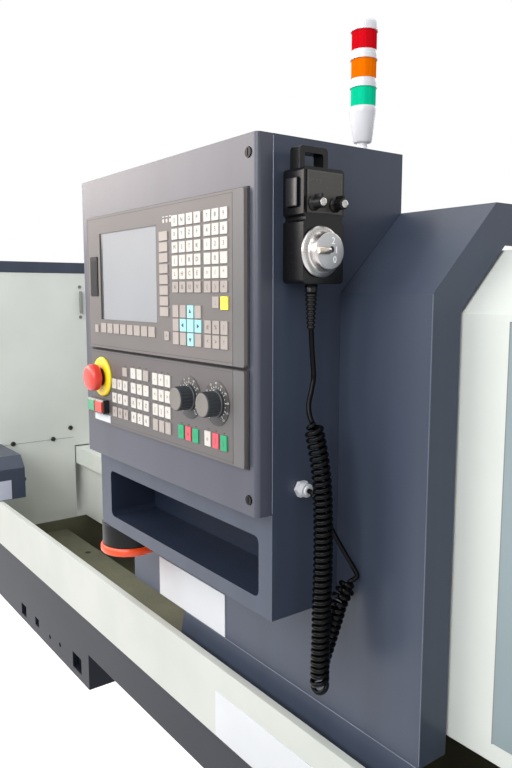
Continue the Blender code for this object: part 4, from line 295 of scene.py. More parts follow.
finishes = {
    "slatePaint": look((56, 63, 78), (63, 71, 87), (0.34, 0.42), cloudSize=1.2, cloudStretch=(12, 12, 0.8),
        grainSize=520, bump=0.10, shine=0.28, coat=0.12, coatRough=0.26),
    "doorPaint": look((62, 64, 76), (68, 70, 82), (0.34, 0.42), cloudSize=1.2, cloudStretch=(12, 12, 0.8),
        grainSize=520, bump=0.10, shine=0.36, coat=0.25, coatRough=0.28),
    # painted shade: the slate darkened for the front band, standing in for the shade it lies in
    "bandPaintedShade": look((22, 26, 35), (30, 34, 44), (0.40, 0.50), cloudSize=1.2, cloudStretch=(3, 3, 6),
        grainSize=520, bump=0.10, shine=0.2),
    # painted shade: a darker slate for the faces inside the tray
    "trayPaintedShade": look((32, 39, 54), (38, 46, 62), (0.40, 0.50), grainSize=520, bump=0.10, shine=0.2),
    # painted highlight: a lighter slate for strips along sheet edges and creases
    "edgeHighlightPaint": look((86, 92, 108), (102, 108, 124), (0.30, 0.40), cloudSize=12),
    "creamPaint": look((212, 216, 210), (221, 224, 218), (0.36, 0.46), grainSize=480, bump=0.08, shine=0.4,
        coat=0.05, coatRough=0.3),
    # painted shade: the cream darkened for the guide rail, standing in for less light on it
    "railPaintedShade": look((190, 195, 188), (199, 202, 196), (0.40, 0.50), grainSize=480, bump=0.08, shine=0.3),
    "castPaint": look((222, 226, 218), (232, 236, 227), (0.42, 0.55), grainSize=160, bump=0.22, depth=0.0006),
    "panPaint": look((92, 92, 74), (112, 110, 88), (0.45, 0.6), cloudSize=9, grainSize=220, bump=0.15),
    "groundSteel": look((150, 150, 152), (186, 186, 188), (0.22, 0.40), grainSize=60, grainStretch=(1, 30, 30),
        metal=1.0, bump=0.06),
    "displayFilm": look((110, 106, 104), (117, 112, 110), (0.40, 0.50), grainSize=1500, bump=0.05, shine=0.2),
    "displayBorder": look((96, 95, 95), (104, 102, 102), (0.38, 0.46), grainSize=1500, bump=0.05, shine=0.3),
    "keyboardFilm": look((86, 82, 82), (94, 89, 89), (0.38, 0.48), grainSize=1500, bump=0.05, shine=0.45),
    "screenGlass": look((146, 148, 151), (153, 155, 158), (0.42, 0.50), cloudSize=5, bump=0.0, shine=0.2),
    "whiteKey": look((196, 192, 185), (206, 202, 195), (0.40, 0.48), grainSize=900),
    "beigeKey": look((156, 147, 141), (167, 158, 152), (0.40, 0.48), grainSize=900),
    "cyanKey": look((150, 214, 220), (164, 226, 230), (0.40, 0.48), grainSize=900),
    "yellowKey": look((226, 216, 70), (238, 228, 84), (0.40, 0.48), grainSize=900),
    "greenKey": look((10, 140, 92), (20, 154, 104), (0.40, 0.48), grainSize=900),
    "redKey": look((196, 70, 84), (210, 82, 94), (0.40, 0.48), grainSize=900),
    "inkDark": look((70, 68, 70), (80, 78, 80), (0.5, 0.6)),
    "inkLight": look((205, 205, 202), (218, 218, 214), (0.5, 0.6)),
    "blackGap": look((16, 16, 18), (24, 24, 26), (0.55, 0.7), grainSize=400),
    "blackPlastic": look((8, 8, 10), (13, 13, 15), (0.20, 0.28), grainSize=1100, bump=0.12, shine=0.26, coat=0.12,
        coatRough=0.16),
    "glossBlack": look((10, 11, 14), (18, 19, 22), (0.18, 0.26), coat=0.5),
    "pendantPlate": look((54, 52, 48), (68, 66, 61), (0.30, 0.42), grainSize=1100),
    "cordSkin": look((4, 4, 5), (7, 7, 8), (0.13, 0.19), grainSize=700, shine=0.10),
    "redCap": look((218, 54, 42), (230, 66, 52), (0.30, 0.38), grainSize=900, coat=0.3),
    "yellowRing": look((236, 206, 14), (246, 220, 30), (0.34, 0.42), grainSize=900, coat=0.2),
    "greenCap": look((28, 136, 88), (44, 154, 104), (0.25, 0.33), coat=0.5),
    "whitePlastic": look((206, 206, 210), (218, 218, 222), (0.28, 0.36), coat=0.3),
    "orangeRing": look((236, 66, 14), (248, 84, 22), (0.32, 0.4), coat=0.2),
    "knobBlack": look((38, 42, 46), (48, 52, 56), (0.42, 0.52), grainSize=1000, bump=0.12),
    "dialFilm": look((40, 39, 40), (48, 46, 46), (0.42, 0.52), grainSize=1300),
    "drumBlack": look((10, 10, 12), (15, 15, 17), (0.34, 0.44), grainSize=800, shine=0.2),
    "knobFace": look((110, 105, 101), (120, 115, 110), (0.40, 0.50), grainSize=1300, bump=0.1),
    "turnedAluminium": look((164, 160, 158), (198, 194, 192), (0.20, 0.36), metal=1.0,
        rings=((0.0, -0.5125, 1.344), "X", 900.0), bump=0.05),
    "satinFace": look((176, 176, 178), (184, 184, 186), (0.40, 0.5), metal=0.7, grainSize=1600, bump=0.1),
    "platedSteel": look((168, 166, 164), (196, 194, 192), (0.2, 0.3), metal=1.0),
    "brassPin": look((184, 172, 160), (200, 190, 178), (0.22, 0.3), metal=1.0),
    "insetBlueGrey": look((132, 147, 150), (146, 160, 163), (0.36, 0.46), cloudSize=3, bump=0.05),
    "seamGrey": look((120, 124, 120), (132, 136, 132), (0.5, 0.6)),
    "whiteInk": look((250, 250, 250), (254, 254, 254), (0.5, 0.6)),
    "paperWhite": look((206, 209, 212), (214, 217, 220), (0.5, 0.6), shine=0.2, grainSize=900),
    "screwDark": look((58, 60, 60), (72, 74, 74), (0.3, 0.42), metal=0.6),
    "lilacPaint": look((176, 178, 196), (190, 192, 208), (0.4, 0.5)),
}
finish = {name: finishFrom(name, values) for name, values in finishes.items()}


# painted light: emission makes the lens plastic glow in its own colour, standing in for light through the
# translucent plastic
def lensFrom(name, colour, paintedGlow):
    made = finishFrom(name, look([c * 0.74 for c in colour], [c * 0.92 for c in colour], (0.34, 0.42),
            cloudSize=160, cloudStretch=(1, 1, 0.02), bump=0.0, shine=0.0))
    shader = made.node_tree.nodes["Principled BSDF"]
    shader.inputs["Emission Color"].default_value = tone(*colour)
    shader.inputs["Emission Strength"].default_value = paintedGlow
    return made


finish["redLens"] = lensFrom("redLens", (206, 14, 26), 0.26)
finish["amberLens"] = lensFrom("amberLens", (238, 112, 4), 0.28)
finish["greenLens"] = lensFrom("greenLens", (12, 200, 150), 0.28)
print("finishes made:", len(finish))


# camera and cord

camera = {"place": (1.250, -1.032, 1.300), "turn": (82.755, 0.0, 53.33), "lens": 33.47}
deselectAll()
bpy.ops.object.camera_add(location=camera["place"], rotation=[math.radians(a) for a in camera["turn"]])
bpy.context.scene.camera = bpy.context.object
bpy.context.object.data.lens = camera["lens"]
bpy.context.object.data.sensor_width = 36
bpy.context.object.data.clip_start = 0.05
bpy.context.scene.view_settings.view_transform = "Standard"

cord = {
    "wire": 0.006, "coilRadius": 0.0085, "pitch": 0.0073, "closest": 0.0064, "stepsPerTurn": 18, "blendTurns": 1.1,
    "leadSteps": 60, "coilSteps": 420, "tailSteps": 70,
    "lead": ((0.6500, -0.5095, 1.2775), (0.6500, -0.5093, 1.2650), (0.6500, -0.5072, 1.2350),
        (0.6500, -0.5047, 1.2080), (0.6507, -0.5082, 1.1920), (0.6525, -0.5135, 1.1780), (0.6560, -0.5158, 1.1670),
        (0.6602, -0.5154, 1.1576)),
    "coil": ((0.6605, -0.5150, 1.1570), (0.6640, -0.5123, 1.1380), (0.6680, -0.5085, 1.1042),
        (0.6700, -0.5062, 1.0621), (0.6700, -0.5052, 0.9945), (0.6700, -0.5071, 0.9220), (0.6700, -0.5082, 0.8640),
        (0.6672, -0.5060, 0.8490), (0.6612, -0.5005, 0.8425), (0.6552, -0.4948, 0.8490), (0.6524, -0.4912, 0.8630),
        (0.6545, -0.4830, 0.8895), (0.6580, -0.4757, 0.9169), (0.6612, -0.4700, 0.9391), (0.6648, -0.4562, 0.9602)),
    "tail": ((0.6650, -0.4556, 0.9606), (0.6672, -0.4504, 0.9630), (0.6668, -0.4486, 0.9690),
        (0.6595, -0.4603, 0.9935), (0.6560, -0.4708, 1.0127), (0.6540, -0.4820, 1.0327), (0.6525, -0.4930, 1.0510),
        (0.6515, -0.4985, 1.0615), (0.6490, -0.5018, 1.0690), (0.6455, -0.5028, 1.0724), (0.6416, -0.5030, 1.0730)),
}


def smoothRoute(points, count):  # a soft curve through the chosen points
    knots = [Vector(p) for p in points]
    knots = [2 * knots[0] - knots[1]] + knots + [2 * knots[-1] - knots[-2]]
    spans = len(knots) - 3
    route = []
    for step in range(count + 1):
        at = min(step / count * spans, spans - 1e-6)
        index = int(at)
        t = at - index
        a, b, c, d = knots[index:index + 4]
        route.append(0.5 * (2 * b + (c - a) * t + (2 * a - 5 * b + 4 * c - d) * t ** 2
                            + (3 * b - a - 3 * c + d) * t ** 3))
    return route


def coilRound(middle):  # winds the wire round the middle line, wider spaced where it bends
    radius, perTurn, blend = cord["coilRadius"], cord["stepsPerTurn"], cord["blendTurns"]
    steps = [(b - a).length for a, b in zip(middle, middle[1:])]
    phases = [0.0]
    for index, step in enumerate(steps):
        ahead = middle[min(index + 8, len(middle) - 1)] - middle[min(index + 4, len(middle) - 2)]
        behind = middle[max(index - 3, 1)] - middle[max(index - 7, 0)]
        bend = ahead.angle(behind, 0.0) / max(8 * step, 1e-6)
        here = max(cord["pitch"], cord["closest"] / max(1 - bend * radius, 0.3))
        phases.append(phases[-1] + step / here)
    turnsInAll = phases[-1]
    side = Vector((0, 1, 0))
    wire = []
    place = 0
    for count in range(int(turnsInAll * perTurn) + 1):
        phase = count / perTurn
        while place < len(phases) - 2 and phases[place + 1] < phase:
            place += 1
        t = (phase - phases[place]) / (phases[place + 1] - phases[place])
        centre = middle[place].lerp(middle[place + 1], min(max(t, 0), 1))
        along = (middle[min(place + 3, len(middle) - 1)] - middle[max(place - 2, 0)]).normalized()
        side = (side - along * side.dot(along)).normalized()
        grown = min(phase / blend, (turnsInAll - phase) / blend, 1.0)
        grown = max(grown * grown * (3 - 2 * grown), 0.0)
        angle = math.tau * phase
        wire.append(centre + (side * math.cos(angle) + along.cross(side) * math.sin(angle)) * radius * grown)
    return wire


def makeCord():
    lead = smoothRoute(cord["lead"], cord["leadSteps"])
    wound = coilRound(smoothRoute(cord["coil"], cord["coilSteps"]))
    tail = smoothRoute(cord["tail"], cord["tailSteps"])
    route = lead[:-1] + wound[2:-2] + tail[1:]
    line = bpy.data.curves.new("curlyCord", "CURVE")
    line.dimensions = "3D"
    line.bevel_depth = cord["wire"] / 2
    line.bevel_resolution = 3
    line.use_fill_caps = True
    spline = line.splines.new("POLY")
    spline.points.add(len(route) - 1)
    for point, place in zip(spline.points, route):
        point.co = (*place, 1.0)
    piece = bpy.data.objects.new("curlyCord", line)
    bpy.context.scene.collection.objects.link(piece)
    dress(piece, finish["cordSkin"], "carriage", ("cord_lead", "cord_coil", "cord_tail"))


makeCord()
print("camera and cord placed")


# sheet metal and castings, with their edges eased

eased = (
    # CAD node, piece, body, finish, slot, edge
    ("console_box", "consoleHousing", "carriage", "slatePaint", "slate_paint", 0.0016),
    ("console_door", "consoleDoorSkin", "door", "doorPaint", "slate_paint", 0.0014),
    ("guard_cover", "slidingGuard", "carriage", "slatePaint", "slate_paint", 0.0012),
    ("guard_bracket", "guardArm", "carriage", "slatePaint", "slate_paint", 0.0012),
    ("front_rail", "guideRail", "root", "railPaintedShade", "cream_paint", 0.0014),
    ("front_panel", "darkBand", "root", "bandPaintedShade", "slate_paint", 0.0014),
    ("tail_guard", "tailGuardSheet", "root", "creamPaint", "cream_paint", 0.0012),
    ("rear_guard", "rearGuardSheet", "root", "creamPaint", "cream_paint", 0.0010),
    ("rear_cabinet", "cabinet", "root", "slatePaint", "slate_paint", 0.0020),
    ("headstock_cover", "headCover", "root", "creamPaint", "cream_paint", 0.0012),
    ("headstock_roof", "headRoof", "root", "slatePaint", "slate_paint", 0.0016),
    ("left_guard", "lowGuard", "root", "slatePaint", "slate_paint", 0.0012),
    ("leg_left", "headLeg", "root", "slatePaint", "slate_paint", 0.0020),
    ("leg_right", "tailLeg", "root", "slatePaint", "slate_paint", 0.0020),
    ("headstock", "headCasting", "root", "castPaint", "cast_paint", 0.0030),
    ("bed", "bedCasting", "root", "castPaint", "cast_paint", 0.0012),
    ("saddle", "saddleCasting", "carriage", "castPaint", "cast_paint", 0.0012),
    ("apron", "apronCasting", "carriage", "castPaint", "cast_paint", 0.0040),
    ("tailstock_body", "tailCasting", "tailstock", "castPaint", "cast_paint", 0.0030),
    ("cross_slide", "crossTable", "slide", "groundSteel", "ground_steel", 0.0010),
    ("toolpost_head", "toolTurret", "toolpost", "groundSteel", "ground_steel", 0.0010),
    ("pendant_body", "pendantShell", "carriage", "blackPlastic", "black_plastic", 0.0012),
    ("pendant_holder", "pendantBracket", "carriage", "platedSteel", "ground_steel", 0.0006),
    ("gland", "glandNut", "carriage", "whitePlastic", "white_plastic", 0.0007),
)
# painted shade: the faces inside the tray get the darker slate as a second finish
shadedFaces = {"consoleHousing": ("trayPaintedShade", (0.199, -0.5442, 0.938), (0.594, -0.460, 1.017))}  # faces in the tray
for nodeName, pieceName, bodyName, finishName, slotName, edge in eased:
    piece = dress(easedCopy(nodeName, pieceName, edge), finish[finishName], bodyName, (nodeName,))
    if pieceName in shadedFaces:
        second, low, high = shadedFaces[pieceName]
        piece.data.materials.append(finish[second])
        for side in piece.data.polygons:
            if all(a < value < b for a, value, b in zip(low, side.center, high)):
                side.material_index = 1

# painted highlights: lighter strips on the door's edge and on the guard's crease and corner, standing in for the
# light caught there
highlightStrips = {  # bright lines where the sheets turn: corners and edge of each
    "doorHighlight": (((0.6264, -0.5456, 1.0500), (0.6278, -0.5442, 1.4680), 0.0005),),
    "guardHighlights": (((0.2620, -0.4441, 0.7683), (0.7640, -0.4428, 0.7697), 0.0004),
                   ((0.7641, -0.4434, 0.7720), (0.7652, -0.4423, 1.2990), 0.0003)),
}
for name, strips in highlightStrips.items():
    pieces = [boxFrom(name, low, high, edge, 1) for low, high, edge in strips]
    dress(joinAll(name, pieces), finish["edgeHighlightPaint"], "carriage")
print("sheets and castings eased:", len(eased))

keptNodes = {  # CAD nodes that show as they are
    "chip_pan": "panPaint", "z_motor": "blackPlastic", "x_motor": "blackPlastic", "chuck_body": "groundSteel",
    "jaw_1": "groundSteel", "jaw_2": "groundSteel", "jaw_3": "groundSteel", "quill": "groundSteel",
    "tail_wheel": "platedSteel", "tail_lever": "glossBlack", "display_panel": "displayFilm",
    "machine_panel": "keyboardFilm", "screen": "screenGlass", "usb_flap": "drumBlack", "button_block": "glossBlack",
    "lock_upper": "drumBlack", "lock_lower": "drumBlack", "enable_button": "glossBlack",
}
for nodeName, finishName in keptNodes.items():
    nodes[nodeName].data.materials.append(finish[finishName])


# operator panels

panel = {
    "face": -0.5733, "left": 0.198, "right": 0.612, "line": 0.0007, "lineLeft": 0.2008, "border": 0.5910,
    "stripRight": 0.6114, "shadeMargin": 0.0016,
    # bottom and top on the display and on the keyboard panel
    "lines": ((1.2212, 1.4095), (1.1062, 1.2110)), "strips": ((1.2186, 1.4124), (1.1036, 1.2134)),
    "shadeFrames": ((1.218, 1.413), (1.103, 1.214)),
    # left, bottom, right, top
    "screenEdges": ((0.2435, 1.3872, 0.4172, 1.3882), (0.2435, 1.2603, 0.4172, 1.2613),
        (0.4162, 1.2603, 0.4172, 1.3882)),
    "lights": (0.4347, 0.4433, 0.4519), "marks": (0.4342, 0.4428, 0.4514),
    "flapRibs": (0.2135, 0.2175, 0.2215, 0.2255, 0.2295),
}
keys = {
    "rise": 0.0018, "sink": 0.0003, "over": 0.0002, "ease": 0.0005, "dish": 0.00025, "rim": 0.0014, "sign": 0.0078,
    "blocks": (
        # left, top, columns, rows, pitch across, pitch down, width, height, colours, signs
        (0.4595, 1.3954, 4, 5, 0.0175, 0.0163, 0.0137, 0.0129, "w", "O N G P X Y Z F M S T K J I R D L H C E"),
        (0.4595, 1.3139, 4, 1, 0.0175, 0.0163, 0.0137, 0.0129, "b", "A B U V"),
        (0.5337, 1.3954, 3, 5, 0.0171, 0.0163, 0.0137, 0.0129, "w", "7 8 9 4 5 6 1 2 3 - 0 . = / *"),
        (0.5337, 1.3139, 3, 1, 0.0171, 0.0163, 0.0137, 0.0129, "b", "( ) +"),
        (0.4268, 1.3778, 1, 8, 0.0, 0.0137, 0.0210, 0.0112, "b", ""),
        (0.2452, 1.2555, 8, 1, 0.0213, 0.0, 0.0170, 0.0135, "b", ""),
        (0.4595, 1.2851, 4, 3, 0.0175, 0.0170, 0.0137, 0.0150, "bbcbbcccbbcb", ""),
        (0.5337, 1.2681, 3, 2, 0.0171, 0.0170, 0.0137, 0.0150, "b", "# % ? < > !"),
        (0.5508, 1.2960, 1, 1, 0.0, 0.0, 0.0130, 0.0130, "b", ";"),
        (0.5679, 1.2963, 1, 1, 0.0, 0.0, 0.0145, 0.0150, "y", ""),
        (0.2240, 1.2525, 1, 1, 0.0, 0.0, 0.0110, 0.0110, "b", ""),
        (0.4375, 1.2510, 1, 1, 0.0, 0.0, 0.0110, 0.0110, "b", ">"),
        (0.2778, 1.1745, 3, 3, 0.0180, 0.0210, 0.0135, 0.0140, "wwwwwwbbb", "1 2 3 4 5 6 7 8 9"),
        (0.3388, 1.1950, 3, 4, 0.0187, 0.0208, 0.0140, 0.0142, "wwbwwwwwwwww", "- / . + = - X Y Z 4 5 6"),
        (0.4025, 1.1940, 3, 4, 0.0168, 0.0207, 0.0132, 0.0152, "wwwwwwwwwbbb", "- + | < o > [ ] ^"),
        (0.4697, 1.1340, 3, 1, 0.0170, 0.0, 0.0128, 0.0172, "grg", "| o |"),
        (0.5317, 1.1355, 3, 1, 0.0172, 0.0, 0.0126, 0.0180, "wrg", "o | |"),
        (0.3130, 1.1935, 1, 1, 0.0, 0.0, 0.0140, 0.0120, "b", ""),
    ),
    "finishes": {"w": "whiteKey", "b": "beigeKey", "c": "cyanKey", "y": "yellowKey", "g": "greenKey",
        "r": "redKey"},
    "names": {"w": "whiteKeys", "b": "beigeKeys", "c": "arrowKeys", "y": "resetKey", "g": "greenKeys",
        "r": "redKeys"},
    "lampsBelow": 1.21, "arrowBlock": 6, "arrows": ((2, 0, 0), (1, 1, 270), (3, 1, 90), (2, 2, 180)),
    "arrowSize": 0.0036,
}


def makeKeys():
    caps = {colour: [] for colour in keys["finishes"]}
    signs = []
    lights = []
    face = panel["face"]
    for left, top, columns, rows, across, down, width, height, colours, words in keys["blocks"]:
        over = keys["over"]
        first = boxFrom("keyCap", (left - over, face - keys["rise"], top - height - over),
                (left + width + over, face + keys["sink"], top + over))
        pickFaces(first, lambda side: side.normal.y < -0.9)
        bpy.ops.mesh.inset(thickness=keys["rim"])
        bpy.ops.transform.translate(value=(0, keys["dish"], 0))
        leaveEdit()
        easeEdges(first, keys["ease"], 2, 50)
        listed = words.split()
        for number in range(columns * rows):
            row, column = divmod(number, columns)
            shift = (column * across, 0, -row * down)
            colour = colours[number] if len(colours) > 1 else colours
            caps[colour].append(copyTo(first, "keyCopy", shift))
            middle = (left + width / 2 + shift[0], face - keys["rise"] - 0.00005, top - height / 2 + shift[2])
            if number < len(listed):
                signs.append(wordFrom("keySign", listed[number], keys["sign"], middle))
            if top < keys["lampsBelow"]:  # a small lamp over each key of the lower panel
                lamp = (middle[0], face, top + shift[2] + 0.0026)
                lights.append(boxFrom("keyLight", (lamp[0] - 0.0011, face - 0.0003, lamp[2] - 0.0005),
                        (lamp[0] + 0.0011, face + 0.0001, lamp[2] + 0.0005)))
        bpy.data.objects.remove(first)
    for colour, pieces in caps.items():
        dress(joinAll(keys["names"][colour], pieces), finish[keys["finishes"][colour]], "door")
    left, top = keys["blocks"][keys["arrowBlock"]][:2]
    pitchAcross, pitchDown, width, height = keys["blocks"][keys["arrowBlock"]][4:8]
    for across, down, angle in keys["arrows"]:
        deselectAll()
        bpy.ops.mesh.primitive_circle_add(vertices=3, radius=keys["arrowSize"], fill_type="NGON")
        arrow = bpy.context.object
        arrow.rotation_euler = (math.pi / 2, math.radians(angle), 0)
        arrow.location = (left + width / 2 + across * pitchAcross, face - keys["rise"] - 0.00005,
                top - height / 2 - down * pitchDown)
        signs.append(settle(arrow, "arrowSign"))
    dress(joinAll("keySigns", signs), finish["inkDark"], "door")
    dress(joinAll("keyLights", lights), finish["blackGap"], "door")


makeKeys()
print("keys made")


def onFilm(name, left, bottom, right, top, proud, sink=0.0002, ease=0.0, segments=2):  # a thin bar on the film
    return boxFrom(name, (left, panel["face"] - proud, bottom), (right, panel["face"] + sink, top), ease, segments)


def makePanelTrim():
    face = panel["face"]
    line = panel["line"]
    left, border = panel["lineLeft"], panel["border"]
    dark = []
    for low, high in panel["lines"]:
        for bottom in (high, low):
            dark.append(onFilm("panelLine", left, bottom, border, bottom + line, 0.00015))
        for side in (left, border - line):
            dark.append(onFilm("panelLine", side, low, side + line, high, 0.00015))
    dress(joinAll("panelLines", dark), finish["inkDark"], "door")
    strips = [onFilm("panelStrip", border, low, panel["stripRight"], high, 0.00012, ease=0.00005, segments=1)
            for low, high in panel["strips"]]
    dress(joinAll("panelStrips", strips), finish["displayBorder"], "door")
    # painted shade: a black frame on the door round each panel, standing in for the shadow gap at the panel's edge
    shadeFrames = []
    shadeMargin = panel["shadeMargin"]
    for low, high in panel["shadeFrames"]:
        shadeFrame = boxFrom("panelShadeFrame", (panel["left"] - shadeMargin, -0.5686, low - shadeMargin),
                (panel["right"] + shadeMargin, -0.5668, high + shadeMargin))
        shadeFrames.append(easeEdges(shadeFrame, 0.0006, 1))
    dress(joinAll("panelShadeFrames", shadeFrames), finish["blackGap"], "door")
    edges = [onFilm("screenEdge", *place, 0.0001, 0.0028) for place in panel["screenEdges"]]
    dress(joinAll("screenEdges", edges), finish["displayBorder"], "door")
    gap = boxFrom("screenGap", (0.2437, face + 0.0012, 1.2612), (0.2514, face + 0.0029, 1.3874), 0.0004)
    dress(gap, finish["glossBlack"], "door")
    lights = [onFilm("stateLight", x, 1.3885, x + 0.0040, 1.3930, 0.0004, ease=0.0004) for x in panel["lights"]]
    dress(joinAll("stateLights", lights), finish["whiteKey"], "door")
    marks = [onFilm("stateMark", x, 1.3955, x + 0.0050, 1.3964, 0.0002) for x in panel["marks"]]
    dress(joinAll("stateMarks", marks), finish["inkLight"], "door")
    label = onFilm("buttonLabel", 0.2125, 1.1052, 0.2670, 1.1165, 0.0006, ease=0.0003)
    dress(label, finish["paperWhite"], "door")
    ribs = [boxFrom("flapRib", (x, -0.57515, 1.300), (x + 0.0016, -0.5745, 1.3495), 0.0003)
            for x in panel["flapRibs"]]
    dress(joinAll("flapRibs", ribs), finish["glossBlack"], "usb_cover")


makePanelTrim()

stopButton = {
    "x": 0.2445, "z": 1.1740, "head": 0.0200, "ring": 0.0300, "bezels": ((0.2105, 0.2361), (0.2369, 0.2625)),
    # piece, left, right, finish, body, CAD node
    "caps": (("startCap", 0.2120, 0.2350, "greenCap", "start", "start_button"),
             ("stopCap", 0.2380, 0.2610, "redCap", "stop", "stop_button")),
}


def makeStopButton():
    face = panel["face"]
    centre = (stopButton["x"], face, stopButton["z"])
    r = stopButton["ring"]
    ring = turnedFrom("stopRing", [(r, 0.0003), (r + 0.0002, 0.0016), (r - 0.0006, 0.0034), (r - 0.0024, 0.0044),
            (r - 0.0080, 0.0047), (0.0165, 0.0043), (0.0150, 0.0036)], centre, "-Y", 64)
    dress(ring, finish["yellowRing"], "door", ("estop_collar",))
    neck = turnedFrom("stopNeck", [(0.0140, 0.0030), (0.0140, 0.0054), (0.0128, 0.0060)], centre, "-Y", 48)
    dress(neck, finish["glossBlack"], "door")
    h = stopButton["head"]
    head = turnedFrom("stopHead", [(0.0098, 0.0002), (0.0098, 0.0096), (h - 0.0030, 0.0098), (h - 0.0006, 0.0110),
            (h, 0.0130), (h + 0.0001, 0.0190), (h - 0.0004, 0.0215), (h - 0.0016, 0.0238), (h - 0.0042, 0.0254),
            (h - 0.0080, 0.0263), (0.0040, 0.0266)], centre, "-Y", 64)
    dress(head, finish["redCap"], "estop", ("estop_button",))
    for name, low, high, colour, body, node in stopButton["caps"]:
        cap = boxFrom(name, (low, -0.5861, 1.1216), (high, -0.5806, 1.1374))
        pickFaces(cap, lambda side: side.normal.y < -0.9)
        bpy.ops.mesh.inset(thickness=0.0014)
        bpy.ops.transform.translate(value=(0, 0.0005, 0))
        leaveEdit()
        dress(easeEdges(cap, 0.0006, 2, 50), finish[colour], body, (node,))
    for number, (low, high) in enumerate(stopButton["bezels"]):
        bezel = boxFrom("capBezel", (low, -0.5842, 1.1372), (high, -0.5834, 1.1392), 0.0003)
        dress(bezel, finish["platedSteel"], "door")
        bezel.name = "capBezel" + str(number + 1)


makeStopButton()

knob = {
    "z": 1.1715, "dial": 0.0268, "skirt": 0.0166, "radius": 0.0150, "steps": 72, "flute": 0.955,
    "markStart": -140, "markStep": 14, "markInner": 0.0182, "markLong": 0.0212, "markShort": 0.0200,
    "numberRadius": 0.0238, "numberSize": 0.0036,
    "feedNumbers": ("0", "2", "4", "6", "8", "10", "20", "40", "60", "80", "100"),
    "speedNumbers": ("50", "55", "60", "65", "70", "80", "90", "95", "100", "110", "120"),
}


def makeKnob(label, x, body, nodeName, numbers):
    face = panel["face"]
    base = face - 0.0011
    centre = (x, face, knob["z"])
    dial = turnedFrom(label + "Dial", [(knob["dial"], 0.0002), (knob["dial"], 0.0008),
            (knob["dial"] - 0.0004, 0.0010)], centre, "-Y", 64)
    dress(dial, finish["dialFilm"], "door")
    marks = []
    for number in range(21):
        angle = math.radians(knob["markStart"] + knob["markStep"] * number)
        long = number % 2 == 0
        inner, outer = knob["markInner"], knob["markLong" if long else "markShort"]
        middle = (inner + outer) / 2
        mark = boxFrom("dialMark", (-0.00035, -0.00012, -(outer - inner) / 2), (0.00035, 0.0, (outer - inner) / 2))
        mark.rotation_euler = (0, angle, 0)
        mark.location = (x + middle * math.sin(angle), face - 0.0010, knob["z"] + middle * math.cos(angle))
        marks.append(settle(mark, "dialMark"))
        if long and number // 2 < len(numbers):
            away = knob["numberRadius"]
            place = (x + away * math.sin(angle), face - 0.00112, knob["z"] + away * math.cos(angle))
            marks.append(wordFrom("dialNumber", numbers[number // 2], knob["numberSize"], place))
    dress(joinAll(label + "Marks", marks), finish["inkLight"], "door")
    turned = turnedFrom(label + "Knob", [(knob["skirt"], 0.0), (knob["skirt"], 0.0024),
            (knob["skirt"] - 0.0008, 0.0032), (knob["radius"], 0.0034), (knob["radius"], 0.0188),
            (knob["radius"] - 0.0009, 0.0199)], (x, base, knob["z"]), "-Y", knob["steps"])

    def isFlute(side):
        away = side.center - Vector((x, side.center.y, knob["z"]))
        number = round(math.degrees(math.atan2(away.z, away.x)) / 5 - 0.5)
        return abs(side.normal.y) < 0.3 and base - 0.019 < side.center.y < base - 0.0036 and number % 3 == 0

    pickFaces(turned, isFlute)
    bpy.ops.transform.resize(value=(knob["flute"], 1, knob["flute"]), center_override=(x, base, knob["z"]))
    leaveEdit()
    bpy.ops.object.shade_smooth_by_angle(angle=math.radians(30))
    dress(turned, finish["knobBlack"], body, (nodeName,))
    cap = turnedFrom(label + "Face", [(knob["radius"] - 0.0013, 0.0197), (knob["radius"] - 0.0013, 0.0202),
            (knob["radius"] - 0.0019, 0.0205), (knob["radius"] - 0.0030, 0.0203)], (x, base, knob["z"]), "-Y", 64)
    dress(cap, finish["knobFace"], body)
    pointer = boxFrom(label + "Pointer", (x - 0.0005, base - 0.0034, knob["z"] + 0.0151),
            (x + 0.0005, base - 0.0008, knob["z"] + 0.0168))
    dress(pointer, finish["inkLight"], body)


makeKnob("feed", 0.496, "feed_knob", "knob_left", knob["feedNumbers"])
makeKnob("speed", 0.557, "speed_knob", "knob_right", knob["speedNumbers"])
print("operator panels dressed")


# hand-wheel pendant

pendant = {
    "wheel": (0.6673, -0.5125, 1.344), "selectorX": 0.6685, "selectorZ": 1.394, "relief": (0.6500, -0.5095, 1.3097),
    "ribs": 8, "ticks": 50, "tickRadius": 0.0238,
    # words, across, up, size
    "signs": (("OFF  X  Z", -0.5215, 1.4175, 0.0042), ("X1 X10 X100", -0.4960, 1.4115, 0.0036),
              ("|", -0.5236, 1.4070, 0.0040), ("|", -0.4933, 1.4062, 0.0036)),
    "cardSides": (-0.5308, -0.4832), "cardEnds": (1.4270, 1.3857), "cardLine": 0.0002,
    # label, across, body, CAD node
    "selectors": (("axis", -0.5236, "axis_selector", "selector_left"),
                  ("step", -0.4933, "step_selector", "selector_right")),
    "numbers": (("2", -0.5092, 1.3545), ("1", -0.5046, 1.3450), ("0", -0.5068, 1.3350)), "numberSize": 0.0105,
}


